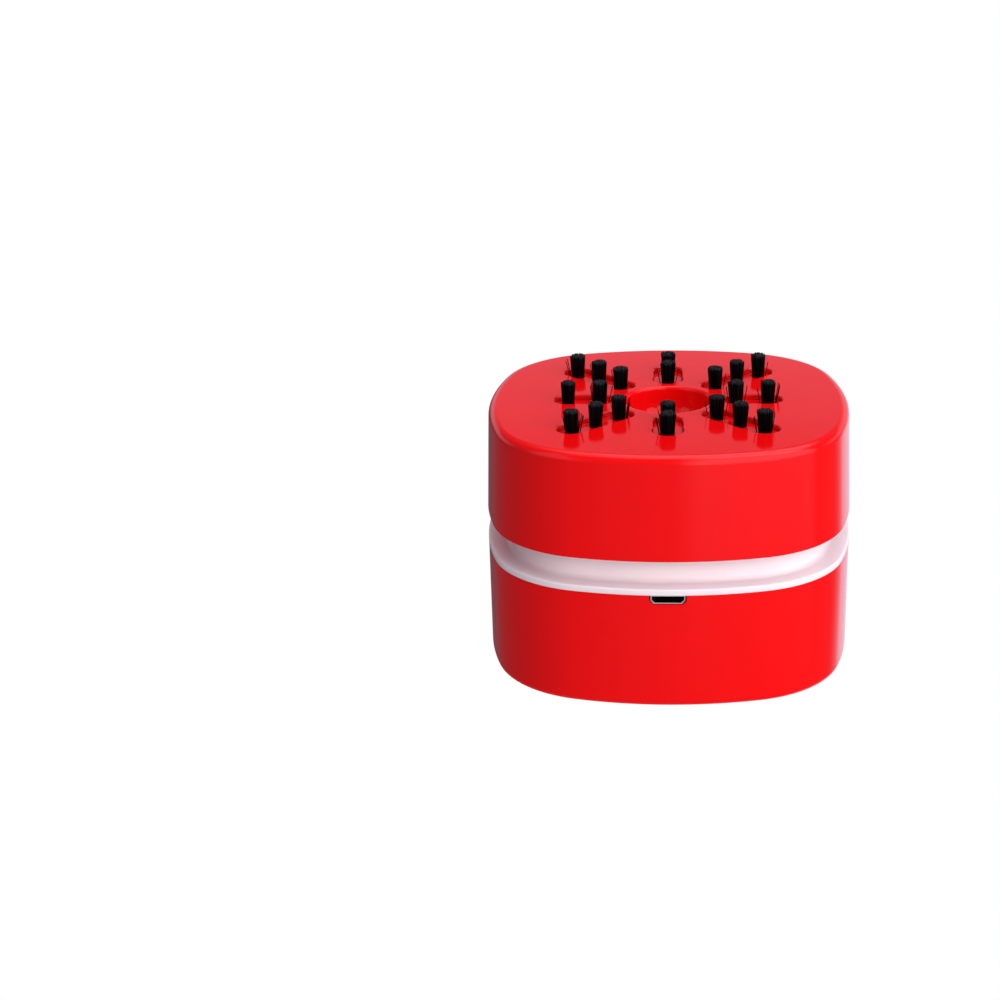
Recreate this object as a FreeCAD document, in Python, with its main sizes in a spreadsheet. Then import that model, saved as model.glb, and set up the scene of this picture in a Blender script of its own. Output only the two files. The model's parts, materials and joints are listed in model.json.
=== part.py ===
import FreeCAD, Part
import math
import os

import Sketcher
from FreeCAD import Placement, Rotation, Vector

# Desktop mini vacuum cleaner: a rounded square puck that stands on its bristles.
# Frame: millimetres, +Z up, origin on the table under the middle, charging port toward -Y.
# The upper housing is drawn raised, with the ring-shaped air outlet open.

doc = FreeCAD.newDocument("DesktopVacuum")
sheet = doc.addObject("Spreadsheet::Sheet", "Sizes")

SIZES = (
    # rounded square outline: four shallow side arcs joined by four tighter corner arcs
    ("half_width", 42.5, "axis to the middle of a side, at the parting lines"),
    ("side_radius", 80.6, "radius of the shallow side arcs"),
    ("corner_radius", 26.2, "radius of the corner arcs"),
    # heights of the visible storeys
    ("tuft_reach", 4.7, "bristle tips below the brush face"),
    ("box_height", 24.2, "dust box, brush face to rim"),
    ("groove", 6.5, "open outlet between the dust box rim and the light ring"),
    ("ring_thick", 1.4, "visible edge of the light ring"),
    ("shell_height", 27.2, "upper shell, rim to top"),
    ("lift_travel", 6.0, "how far the upper housing presses down"),
    # mouldings
    ("wall", 2.2, "wall of the dust box and the upper shell"),
    ("box_draft", 1.6, "degrees of draft on the dust box"),
    ("shell_draft", 0.6, "degrees of draft on the upper shell"),
    ("face_fillet", 2.0, "rounded edge of the brush face"),
    ("top_fillet", 1.6, "rounded edge round the top panel"),
    ("fit_gap", 0.1, "clearance of pieces that are fitted together"),
    ("running_gap", 0.3, "clearance of pieces that slide past each other"),
    # dust box floor
    ("floor_thick", 2.4, "dust box floor, pierced by the bristle slots"),
    ("ledge_width", 1.6, "step inside the dust box that carries the motor unit"),
    ("inlet_radius", 9.9, "suction inlet"),
    ("inlet_lip", 0.8, "rounding of the inlet's edge"),
    ("slot_radius", 3.4, "half the width of a bristle slot"),
    # brush
    ("inner_ring", 15.8, "radius of the inner circle of tufts"),
    ("middle_ring", 23.2, "radius of the middle circle of tufts"),
    ("outer_ring", 30.7, "radius of the outer circle of tufts"),
    ("tuft_radius", 1.6, "tuft, middle to corners"),
    ("tuft_root", 1.3, "depth of a tuft in the plate"),
    ("plate_inset", 6.1, "brush plate's edge behind the outline"),
    ("plate_thick", 2.0, "brush plate"),
    ("plate_screw_inset", 3.2, "plate screws inside the brush plate's edge"),
    # inlet duct
    ("duct_wall", 1.5, "wall of the duct"),
    ("duct_gap", 1.6, "duct below the filter frame"),
    ("duct_flange", 2.0, "how far the duct's flange stands out"),
    ("duct_flange_thick", 1.2, "duct flange"),
    ("duct_cap", 1.2, "closed top of the duct"),
    ("bowl_sill", 0.5, "straight bore left under the duct's rounded inside"),
    # motor carrier and fan housing
    ("carrier_gap", 0.6, "carrier plate inside the dust box wall, at the rim's size"),
    ("carrier_thick", 1.8, "carrier plate"),
    ("gasket_thick", 0.8, "sealing ring under the carrier plate"),
    ("stop_gap", 0.4, "left between neck and carrier plate when pressed down"),
    ("cup_inset", 6.1, "fan housing inside the neck"),
    ("cup_wall", 1.6, "wall of the fan housing"),
    ("cover_gap", 0.5, "left between lid and board screws when pressed down"),
    ("intake_radius", 12.0, "air intake of the fan housing"),
    ("intake_bevel", 0.8, "bevel of the intake"),
    ("guide_half", 1.5, "half the width of a guide rib"),
    ("vent_half", 5.0, "half the width of an exhaust window"),
    ("vent_sill", 0.8, "exhaust window above the carrier plate"),
    ("vent_height", 5.2, "exhaust window"),
    ("cover_thick", 1.6, "lid of the fan housing"),
    ("pillar_inset", 2.2, "screw pillars inside the fan housing's wall"),
    ("pillar_radius", 2.0, "screw pillar inside the fan housing"),
    # filter
    ("filter_radius", 25.0, "outside of the filter frame"),
    ("filter_rim", 2.0, "width of the filter frame's rim"),
    ("filter_height", 2.2, "filter frame"),
    ("filter_spoke", 0.9, "half the width of a filter spoke"),
    ("mesh_thick", 0.6, "filter mesh"),
    # motor, shaft and impeller
    ("motor_radius", 12.2, "motor can"),
    ("headroom", 1.0, "left between shaft and battery when pressed down"),
    ("motor_boss", 3.5, "bearing boss of the motor"),
    ("motor_edge", 1.0, "bevelled edge of the motor can"),
    ("cap_length", 1.6, "end cap of the motor"),
    ("cap_inset", 1.4, "end cap inside the can's edge"),
    ("motor_screw_ring", 8.0, "radius of the motor screws"),
    ("shaft_radius", 1.0, "motor shaft"),
    ("shaft_gap", 0.05, "running fit of the shaft"),
    ("shaft_end", 0.9, "shaft beyond the end cap"),
    ("impeller_inset", 5.2, "impeller inside the fan housing's wall"),
    ("impeller_gap", 1.6, "impeller below the lid"),
    ("disc_thick", 1.2, "impeller disc"),
    ("hub_radius", 4.0, "impeller hub"),
    ("blade_gap", 1.6, "impeller blades above the carrier plate"),
    ("blade_thick", 0.9, "impeller blade"),
    ("blade_inner", 9.0, "where a blade starts"),
    ("blade_curve", 14.5, "radius of a blade's curve"),
    ("blade_centre_x", 11.0, "middle of the first blade's curve, across"),
    ("blade_centre_y", 12.0, "middle of the first blade's curve, along"),
    # light ring, its neck and screws
    ("neck_inset", 4.6, "neck behind the outline"),
    ("neck_wall", 1.6, "neck"),
    ("neck_depth", 8.2, "neck below the ring"),
    ("ring_edge", 0.3, "bevelled edge of the ring"),
    ("boss_inset", 5.3, "ring screws inside the half width, measured to the corners"),
    ("boss_radius", 2.6, "screw boss of the upper shell"),
    ("ear_radius", 3.6, "screw ear of the ring"),
    ("ear_reach", 2.5, "how far an ear runs out into the ring"),
    # upper shell and top panel
    ("panel_inset", 3.0, "top panel behind the outline"),
    ("panel_depth", 1.5, "recess of the top panel"),
    ("panel_thick", 1.3, "top panel"),
    ("panel_edge", 0.25, "bevelled edge of the top panel"),
    ("ceiling", 1.8, "upper shell under the panel"),
    ("notch_half", 4.15, "half the width of the port notch at the rim"),
    ("notch_narrow", 3.35, "half the width of the port notch at its far side"),
    ("notch_height", 2.2, "port notch"),
    ("notch_corner", 1.3, "height where the notch begins to narrow"),
    # charging board
    ("port_setback", 0.5, "port, board tails and light behind the wall of the shell"),
    ("port_lift", 0.05, "port above the ring"),
    ("port_height", 2.35, "port shell"),
    ("port_half", 3.7, "half the width of the port shell"),
    ("port_narrow", 2.9, "half the width of the port shell at the board"),
    ("port_length", 5.0, "port shell"),
    ("port_skin", 0.25, "sheet metal of the port"),
    ("tongue_half", 1.9, "half the width of the contact tongue"),
    ("tongue_thick", 0.7, "contact tongue"),
    ("tongue_short", 0.9, "contact tongue behind the port's mouth"),
    ("board_thick", 1.0, "circuit board"),
    ("board_inset", 10.5, "circuit board behind the outline"),
    ("board_gap", 3.8, "opening of the board round the motor can"),
    ("board_tail_half", 6.4, "half the width of the board's two tails"),
    ("board_screw_inset", 5.0, "board screws inside the board's edge"),
    ("post_radius", 2.2, "post that carries the board"),
    ("led_half", 0.8, "half the width of the charge light"),
    ("led_depth", 1.6, "charge light, front to back"),
    ("led_height", 0.8, "charge light"),
    # battery
    ("battery_long", 40.0, "battery, along X"),
    ("battery_wide", 30.0, "battery, along Y"),
    ("battery_thick", 5.0, "battery"),
    # screws
    ("screw_shank", 0.9, "radius of a screw's shank"),
    ("screw_head", 1.8, "radius of a screw's head"),
    ("screw_cap", 0.9, "height of a screw's head"),
    ("deep_bite", 4.5, "how far the shell and lid screws reach into their bosses"),
    ("short_bite", 2.2, "how far the board and motor screws reach into their seats"),
    ("face_cover", 0.8, "left of the floor under a plate screw"),
    ("pilot_gap", 0.05, "clearance round a screw's shank"),
)

for row, (alias, number, meaning) in enumerate(SIZES, start=1):
    sheet.set(f"A{row}", meaning)
    sheet.set(f"B{row}", str(number))
    sheet.setAlias(f"B{row}", alias)
doc.recompute()

# Levels above the table, each a chain of sheet names.
FACE = "tuft_reach"
FLOOR = FACE + " + floor_thick"
PLATE_TOP = FLOOR + " + plate_thick"
BOX_RIM = FACE + " + box_height"
RING_UNDER = BOX_RIM + " + groove"
SHELL_RIM = RING_UNDER + " + ring_thick"
SHELL_TOP = SHELL_RIM + " + shell_height"
PANEL_SEAT = SHELL_TOP + " - panel_depth"
CEILING = PANEL_SEAT + " - ceiling"
BATTERY_UNDER = CEILING + " - battery_thick"
BOARD = SHELL_RIM + " + port_lift + port_height"
BOARD_TOP = BOARD + " + board_thick"
NECK_END = RING_UNDER + " - neck_depth"
CARRIER_TOP = NECK_END + " - lift_travel - stop_gap"
CARRIER_UNDER = CARRIER_TOP + " - carrier_thick"
LEDGE = CARRIER_UNDER + " - gasket_thick"
FILTER_UNDER = CARRIER_UNDER + " - filter_height"
DUCT_TOP = FILTER_UNDER + " - duct_gap"
COVER_TOP = BOARD + " - lift_travel - screw_cap - cover_gap"
CUP_RIM = COVER_TOP + " - cover_thick"
DISC_TOP = CUP_RIM + " - impeller_gap"
DISC_UNDER = DISC_TOP + " - disc_thick"
BLADE_END = CARRIER_TOP + " + blade_gap"
SHAFT_TOP = BATTERY_UNDER + " - lift_travel - headroom"
CAP_TOP = SHAFT_TOP + " - shaft_end"
MOTOR_TOP = CAP_TOP + " - cap_length"

# Distances from the vertical axis.
PLATE_EDGE = "half_width - plate_inset"
PLATE_SCREWS = PLATE_EDGE + " - plate_screw_inset"
DUCT_OUTSIDE = "inlet_radius + duct_wall"
NECK_INSIDE = "half_width - neck_inset - neck_wall"
CUP_EDGE = NECK_INSIDE + " - cup_inset"
CUP_INSIDE = CUP_EDGE + " - cup_wall"
COVER_SCREWS = CUP_INSIDE + " - pillar_inset"
IMPELLER_EDGE = CUP_INSIDE + " - impeller_inset"
FILTER_INSIDE = "filter_radius - filter_rim"
RING_SCREWS = "half_width - boss_inset"
BOARD_EDGE = "half_width - board_inset"
BOARD_SCREWS = BOARD_EDGE + " - board_screw_inset"
PORT_MOUTH = "half_width - wall - port_setback"
SCREW_HOLE = "screw_shank + pilot_gap"

EIGHTH_TURN = 45
SIXTEENTH_TURN = 22.5
SIDES = 4
BLADES = 9
TINY = 1e-4

sub_parts = []


# ---- values, bodies and sketches -------------------------------------------------------

def total(chain):
    """Value of a chain of sheet names such as 'wall + fit_gap'."""
    value = 0.0
    sign = 1
    for word in chain.split():
        if word in ("+", "-"):
            sign = 1 if word == "+" else -1
        elif word != "0":
            value += sign * sheet.get(word)
    return value


def flip(chain):
    """The same chain with every sign turned round."""
    swap = {"+": "-", "-": "+"}
    words = chain.split()
    if words[0] not in swap:
        words.insert(0, "+")
    return " ".join(swap.get(word, word) for word in words)


def span(low, high):
    """Chain for the distance from one level up to another."""
    return high + " " + flip(low)


def bind(thing, path, chain):
    """Ties a property to a chain of sheet names."""
    words = ["Sizes." + word if word.isidentifier() else word for word in chain.split()]
    thing.setExpression(path, " ".join(words))


def new_body(label, turn=0):
    """A sub-part of its own, turned about the vertical axis where its pattern starts off an axis."""
    body = doc.addObject("PartDesign::Body", label)
    body.Label = label
    body.Placement = Placement(Vector(), Rotation(Vector(0, 0, 1), turn))
    sub_parts.append(body)
    return body


def origin_of(body, role):
    """One of the planes or axes of a body's own origin."""
    return next(item for item in body.Origin.OriginFeatures if item.Role == role)


def new_sketch(body, level="0", plane="XY_Plane", turn=0):
    """A sketch parallel to an origin plane; XZ sketches have the height as their second axis."""
    sketch = body.newObject("Sketcher::SketchObject", "Sketch")
    sketch.AttachmentSupport = [(origin_of(body, plane), "")]
    sketch.MapMode = "FlatFace"
    upward = Vector(0, 0, 1) if plane == "XY_Plane" else Vector(0, 1, 0)
    sketch.AttachmentOffset = Placement(Vector(0, 0, total(level)), Rotation(upward, turn))
    if level != "0":
        bind(sketch, "AttachmentOffset.Base.z", level)
    return sketch


def set_size(sketch, constraint, chain):
    """Adds a dimension to a sketch and ties it to the sheet."""
    number = sketch.addConstraint(constraint)
    bind(sketch, f"Constraints[{number}]", chain)


def pin(sketch, geometry, point, across, along):
    """Ties one point of a sketch to its distances from the sketch's axes."""
    if across == along == "0":
        sketch.addConstraint(Sketcher.Constraint("Coincident", geometry, point, -1, 1))
        return
    for kind, chain, axis in (("DistanceX", across, -2), ("DistanceY", along, -1)):
        if chain == "0":
            sketch.addConstraint(Sketcher.Constraint("PointOnObject", geometry, point, axis))
        else:
            constraint = Sketcher.Constraint(kind, -1, 1, geometry, point, total(chain))
            set_size(sketch, constraint, chain)


def draw_circle(sketch, radius, across="0", along="0"):
    middle = Vector(total(across), total(along), 0)
    circle = sketch.addGeometry(Part.Circle(middle, Vector(0, 0, 1), total(radius)), False)
    pin(sketch, circle, 3, across, along)
    set_size(sketch, Sketcher.Constraint("Radius", circle, total(radius)), radius)


def draw_outline(sketch, corners):
    """A closed outline of straight lines through corners given as pairs of chains."""
    points = [Vector(total(across), total(along), 0) for across, along in corners]
    lines = [Part.LineSegment(points[i - 1], points[i]) for i in range(len(points))]
    numbers = sketch.addGeometry(lines, False)
    for i, (across, along) in enumerate(corners):
        following = numbers[(i + 1) % len(numbers)]
        sketch.addConstraint(Sketcher.Constraint("Coincident", numbers[i], 2, following, 1))
        pin(sketch, numbers[i], 2, across, along)


def draw_box(sketch, left, right, low, high):
    draw_outline(sketch, [(left, low), (right, low), (right, high), (left, high)])


def draw_rounded_square(sketch, inset=""):
    """The product's outline, or one parallel to it: inset is a chain such as '- wall'."""
    side_chain = ("side_radius " + inset).strip()
    corner_chain = ("corner_radius " + inset).strip()
    side = total(side_chain)
    corner = total(corner_chain)
    shift = total("side_radius - half_width")
    reach = (math.sqrt(2 * (side - corner) ** 2 - shift ** 2) - shift) / 2
    opening = math.atan2(reach, reach + shift)
    first = sketch.GeometryCount
    for quarter in range(SIDES):
        angle = quarter * math.pi / 2
        turn = Rotation(Vector(0, 0, 1), math.degrees(angle))
        side_middle = turn.multVec(Vector(-shift, 0, 0))
        corner_middle = turn.multVec(Vector(reach, reach, 0))
        side_circle = Part.Circle(side_middle, Vector(0, 0, 1), side)
        corner_circle = Part.Circle(corner_middle, Vector(0, 0, 1), corner)
        corner_end = angle + math.pi / 2 - opening
        sketch.addGeometry(Part.ArcOfCircle(side_circle, angle - opening, angle + opening), False)
        sketch.addGeometry(Part.ArcOfCircle(corner_circle, angle + opening, corner_end), False)
    arcs = [first + i for i in range(2 * SIDES)]
    for i, arc in enumerate(arcs):
        following = arcs[(i + 1) % len(arcs)]
        sketch.addConstraint(Sketcher.Constraint("Tangent", arc, 2, following, 1))
    for i in range(0, 2 * SIDES, 2):
        if i:
            sketch.addConstraint(Sketcher.Constraint("Equal", arcs[0], arcs[i]))
            sketch.addConstraint(Sketcher.Constraint("Equal", arcs[1], arcs[i + 1]))
        across = i % 4 == 0
        kind = "DistanceX" if across else "DistanceY"
        sketch.addConstraint(Sketcher.Constraint("PointOnObject", arcs[i], 3, -1 if across else -2))
        ends = (arcs[i], 3, -1, 1) if i < 4 else (-1, 1, arcs[i], 3)
        set_size(sketch, Sketcher.Constraint(kind, *ends, shift), "side_radius - half_width")
    set_size(sketch, Sketcher.Constraint("Radius", arcs[0], side), side_chain)
    set_size(sketch, Sketcher.Constraint("Radius", arcs[1], corner), corner_chain)


def draw_slot(sketch, near, far, radius):
    """A slot along the sketch's first axis with round ends centred at two distances."""
    start, end, half = total(near), total(far), total(radius)
    normal = Vector(0, 0, 1)
    inner = Part.Circle(Vector(start, 0, 0), normal, half)
    outer = Part.Circle(Vector(end, 0, 0), normal, half)
    arcs = [
        Part.ArcOfCircle(inner, math.pi / 2, 3 * math.pi / 2),
        Part.LineSegment(Vector(start, -half, 0), Vector(end, -half, 0)),
        Part.ArcOfCircle(outer, -math.pi / 2, math.pi / 2),
        Part.LineSegment(Vector(end, half, 0), Vector(start, half, 0)),
    ]
    numbers = sketch.addGeometry(arcs, False)
    for i, number in enumerate(numbers):
        following = numbers[(i + 1) % len(numbers)]
        sketch.addConstraint(Sketcher.Constraint("Tangent", number, 2, following, 1))
    pin(sketch, numbers[0], 3, near, "0")
    pin(sketch, numbers[2], 3, far, "0")
    set_size(sketch, Sketcher.Constraint("Radius", numbers[0], half), radius)


def draw_octagon(sketch, radius, across):
    """A regular octagon on the sketch's first axis, sized from its middle to its corners."""
    middle = Vector(total(across), 0, 0)
    circle = sketch.addGeometry(Part.Circle(middle, Vector(0, 0, 1), total(radius)), True)
    pin(sketch, circle, 3, across, "0")
    set_size(sketch, Sketcher.Constraint("Radius", circle, total(radius)), radius)
    turns = [Rotation(Vector(0, 0, 1), SIXTEENTH_TURN + EIGHTH_TURN * i) for i in range(2 * SIDES)]
    corners = [middle + turn.multVec(Vector(total(radius), 0, 0)) for turn in turns]
    lines = [Part.LineSegment(corners[i - 1], corners[i]) for i in range(2 * SIDES)]
    numbers = sketch.addGeometry(lines, False)
    for i, number in enumerate(numbers):
        following = numbers[(i + 1) % len(numbers)]
        sketch.addConstraint(Sketcher.Constraint("Coincident", number, 2, following, 1))
        sketch.addConstraint(Sketcher.Constraint("PointOnObject", number, 2, circle))
        if i:
            sketch.addConstraint(Sketcher.Constraint("Equal", numbers[0], number))
    sketch.addConstraint(Sketcher.Constraint("Vertical", numbers[0]))


# ---- features --------------------------------------------------------------------------

def add_feature(kind, body, sketch):
    feature = body.newObject("PartDesign::" + kind, kind)
    feature.Profile = sketch
    return feature


def settle(body, feature):
    """Makes a feature the body's tip and recomputes it."""
    body.Tip = feature
    doc.recompute()
    return feature


def pad(body, sketch, length, downward=False, draft=None):
    feature = add_feature("Pad", body, sketch)
    feature.Reversed = downward
    bind(feature, "Length", length)
    if draft:
        bind(feature, "TaperAngle", draft)
    return settle(body, feature)


def pocket(body, sketch, depth, upward=False, draft=None):
    """Cuts down from the sketch, or up, and makes sure that something was cut."""
    before = body.Shape.Volume
    feature = add_feature("Pocket", body, sketch)
    feature.Reversed = upward
    bind(feature, "Length", depth)
    if draft:
        bind(feature, "TaperAngle", draft)
    settle(body, feature)
    if not feature.Shape.Volume < before - TINY:
        raise RuntimeError(f"a pocket of {body.Label} cuts nothing")
    return feature


def revolve(body, sketch, axis="V_Axis"):
    feature = add_feature("Revolution", body, sketch)
    feature.ReferenceAxis = (sketch, [axis])
    feature.Angle = 360
    return settle(body, feature)


def repeat_round(body, features, count=SIDES):
    """Repeats features evenly about the vertical axis."""
    pattern = body.newObject("PartDesign::PolarPattern", "PolarPattern")
    pattern.Originals = features
    pattern.Axis = (origin_of(body, "Z_Axis"), [""])
    pattern.Angle = 360
    pattern.Occurrences = count
    return settle(body, pattern)


def level_edges(shape, level, beyond=0.0, within=1000.0):
    """Names of the edges that lie at one level, between two distances from the axis."""
    names = []
    for number, edge in enumerate(shape.Edges, start=1):
        middle = edge.valueAt((edge.FirstParameter + edge.LastParameter) / 2)
        points = [vertex.Point for vertex in edge.Vertexes] + [middle]
        flat = all(abs(point.z - level) < TINY for point in points)
        if flat and beyond < math.hypot(middle.x, middle.y) < within:
            names.append(f"Edge{number}")
    return names


def soften(kind, measure, body, size, level, beyond, within):
    base = body.Tip
    feature = body.newObject("PartDesign::" + kind, kind)
    feature.Base = (base, level_edges(base.Shape, total(level), beyond, within))
    bind(feature, measure, size)
    return settle(body, feature)


def round_edges(body, radius, level, beyond=0.0, within=1000.0):
    """Fillets the edges at one level."""
    return soften("Fillet", "Radius", body, radius, level, beyond, within)


def bevel_edges(body, size, level, beyond=0.0, within=1000.0):
    """Chamfers the edges at one level."""
    return soften("Chamfer", "Size", body, size, level, beyond, within)


# ---- screws and tufts: small pieces repeated round the axis ----------------------------

def screw_ring(label, ring, seat, length, head_up, count=SIDES, turn=0):
    """Cap screws whose heads sit on a level; head_up says on which side of it."""
    body = new_body(label, turn)
    tip = seat + " " + (flip(length) if head_up else "+ " + length)
    crown = seat + (" + " if head_up else " - ") + "screw_cap"
    shank = ring + " + screw_shank"
    head = ring + " + screw_head"
    profile = new_sketch(body, plane="XZ_Plane")
    draw_outline(profile, [
        (ring, tip), (shank, tip), (shank, seat), (head, seat), (head, crown), (ring, crown),
    ])
    middle = total(ring)
    axis = profile.addGeometry(Part.LineSegment(Vector(middle, 0, 0), Vector(middle, 1, 0)), True)
    profile.addConstraint(Sketcher.Constraint("Vertical", axis))
    pin(profile, axis, 1, ring, "0")
    profile.addConstraint(Sketcher.Constraint("Distance", axis, 1))
    repeat_round(body, [revolve(body, profile, "Axis0")], count)


def tuft_ring(label, ring, count, turn=0):
    """Tufts whose roots sit in the brush plate and whose tips touch the table."""
    body = new_body(label, turn)
    tuft = new_sketch(body)
    draw_octagon(tuft, "tuft_radius", ring)
    repeat_round(body, [pad(body, tuft, FLOOR + " + tuft_root")], count)


# ---- the dust box and its brush: stands on the table -----------------------------------

def make_dust_box():
    """Drafted tub with a stepped cavity, a round inlet and eight bristle slots."""
    body = new_body("dust_box")
    outline = new_sketch(body, BOX_RIM)
    draw_rounded_square(outline)
    pad(body, outline, "box_height", downward=True, draft="- box_draft")
    round_edges(body, "face_fillet", FACE)

    upper = new_sketch(body, BOX_RIM)
    draw_rounded_square(upper, "- wall")
    pocket(body, upper, span(LEDGE, BOX_RIM), draft="- box_draft")

    lower = new_sketch(body, LEDGE)
    draw_rounded_square(lower, "- wall - ledge_width")
    pocket(body, lower, span(FLOOR, LEDGE), draft="- box_draft")

    inlet = new_sketch(body, FLOOR)
    draw_circle(inlet, "inlet_radius")
    pocket(body, inlet, "floor_thick")
    near_inlet = total(DUCT_OUTSIDE)
    round_edges(body, "inlet_lip", FACE, within=near_inlet)

    short_slot = new_sketch(body, FLOOR)
    draw_slot(short_slot, "inner_ring", "middle_ring", "slot_radius")
    repeat_round(body, [pocket(body, short_slot, "floor_thick")])
    long_slot = new_sketch(body, FLOOR, turn=EIGHTH_TURN)
    draw_slot(long_slot, "inner_ring", "outer_ring", "slot_radius")
    repeat_round(body, [pocket(body, long_slot, "floor_thick")])

    pilot = new_sketch(body, FLOOR, turn=SIXTEENTH_TURN)
    draw_circle(pilot, SCREW_HOLE, PLATE_SCREWS)
    repeat_round(body, [pocket(body, pilot, "floor_thick - face_cover + pilot_gap")])


def make_brush_plate():
    """Flat ring screwed to the dust box floor; its sockets hold the tufts' roots."""
    body = new_body("brush_plate")
    disc = new_sketch(body, FLOOR)
    draw_circle(disc, PLATE_EDGE)
    draw_circle(disc, DUCT_OUTSIDE + " + fit_gap")
    pad(body, disc, "plate_thick")
    sockets = (("inner_ring", 2 * SIDES, 0), ("middle_ring", 2 * SIDES, 0), ("outer_ring", SIDES, EIGHTH_TURN))
    for ring, count, turn in sockets:
        socket = new_sketch(body, FLOOR, turn=turn)
        draw_octagon(socket, "tuft_radius", ring)
        repeat_round(body, [pocket(body, socket, "tuft_root", upward=True)], count)
    hole = new_sketch(body, PLATE_TOP, turn=SIXTEENTH_TURN)
    draw_circle(hole, SCREW_HOLE, PLATE_SCREWS)
    repeat_round(body, [pocket(body, hole, "plate_thick")])


def make_inlet_duct():
    """Hood over the inlet: its rounded inside turns the air to one side, so that dust stays in."""
    body = new_body("inlet_duct")
    flange = DUCT_OUTSIDE + " + duct_flange"
    flange_top = PLATE_TOP + " + duct_flange_thick"
    cap_under = DUCT_TOP + " - duct_cap"
    bowl = span(FLOOR + " + bowl_sill", cap_under)
    profile = new_sketch(body, plane="XZ_Plane")
    draw_outline(profile, [
        ("inlet_radius", FLOOR), (DUCT_OUTSIDE, FLOOR), (DUCT_OUTSIDE, PLATE_TOP),
        (flange, PLATE_TOP), (flange, flange_top), (DUCT_OUTSIDE, flange_top),
        (DUCT_OUTSIDE, cap_under), (DUCT_OUTSIDE + " - duct_cap", DUCT_TOP), ("0", DUCT_TOP),
        ("0", cap_under), ("inlet_radius", cap_under),
    ])
    revolve(body, profile)
    round_edges(body, bowl, cap_under, within=total("inlet_radius") + TINY)
    mouth = new_sketch(body, plane="XZ_Plane")
    draw_box(mouth, flip(flange), flange, flange_top, cap_under)
    pocket(body, mouth, flange, upward=True)


# ---- the motor unit: lifts out of the dust box -----------------------------------------

def make_motor_carrier():
    """Plate that closes the dust box, with the fan housing's cup, guide ribs and pillars."""
    body = new_body("motor_carrier")
    plate = new_sketch(body, CARRIER_UNDER)
    draw_rounded_square(plate, "- wall - carrier_gap")
    pad(body, plate, "carrier_thick")
    cup_height = span(CARRIER_TOP, CUP_RIM)
    cup = new_sketch(body, CARRIER_TOP)
    draw_circle(cup, CUP_EDGE)
    draw_circle(cup, CUP_INSIDE)
    pad(body, cup, cup_height)

    pillar = new_sketch(body, CARRIER_TOP, turn=EIGHTH_TURN)
    draw_circle(pillar, "pillar_radius", COVER_SCREWS)
    repeat_round(body, [pad(body, pillar, cup_height)])
    guide = new_sketch(body, CARRIER_TOP)
    draw_box(guide, CUP_INSIDE, NECK_INSIDE + " - running_gap", "- guide_half", "guide_half")
    repeat_round(body, [pad(body, guide, cup_height)])

    vent = new_sketch(body, plane="XZ_Plane", turn=SIXTEENTH_TURN)
    sill = CARRIER_TOP + " + vent_sill"
    draw_box(vent, "- vent_half", "vent_half", sill, sill + " + vent_height")
    repeat_round(body, [pocket(body, vent, CUP_EDGE)], 2 * SIDES)
    intake = new_sketch(body, CARRIER_TOP)
    draw_circle(intake, "intake_radius")
    pocket(body, intake, "carrier_thick")
    bevel_edges(body, "intake_bevel", CARRIER_UNDER, within=total("intake_radius") + 1)
    pilot = new_sketch(body, CUP_RIM, turn=EIGHTH_TURN)
    draw_circle(pilot, SCREW_HOLE, COVER_SCREWS)
    repeat_round(body, [pocket(body, pilot, "deep_bite + pilot_gap")])


def make_seal_gasket():
    """Soft ring between the dust box's ledge and the carrier plate."""
    body = new_body("seal_gasket")
    ring = new_sketch(body, LEDGE)
    draw_rounded_square(ring, "- wall - carrier_gap")
    draw_rounded_square(ring, "- wall - ledge_width - fit_gap")
    pad(body, ring, "gasket_thick")


def make_filter():
    """Round frame with a cross of spokes under the intake, and the mesh that it holds."""
    body = new_body("filter_frame")
    rim = new_sketch(body, FILTER_UNDER)
    draw_circle(rim, "filter_radius")
    draw_circle(rim, FILTER_INSIDE)
    pad(body, rim, "filter_height")
    spoke = new_sketch(body, FILTER_UNDER)
    draw_box(spoke, "0", FILTER_INSIDE, "- filter_spoke", "filter_spoke")
    repeat_round(body, [pad(body, spoke, "filter_height - mesh_thick")])

    mesh = new_body("filter_mesh")
    disc = new_sketch(mesh, CARRIER_UNDER + " - mesh_thick")
    draw_circle(disc, FILTER_INSIDE)
    pad(mesh, disc, "mesh_thick")


def make_fan_cover():
    """Lid of the fan housing; the motor stands on it and its bearing boss passes through."""
    body = new_body("fan_cover")
    disc = new_sketch(body, CUP_RIM)
    draw_circle(disc, CUP_EDGE)
    draw_circle(disc, "motor_boss + fit_gap")
    pad(body, disc, "cover_thick")
    corner_hole = new_sketch(body, COVER_TOP, turn=EIGHTH_TURN)
    draw_circle(corner_hole, SCREW_HOLE, COVER_SCREWS)
    repeat_round(body, [pocket(body, corner_hole, "cover_thick")])
    motor_hole = new_sketch(body, COVER_TOP)
    draw_circle(motor_hole, SCREW_HOLE, "motor_screw_ring")
    repeat_round(body, [pocket(body, motor_hole, "cover_thick")], 2)


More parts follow.
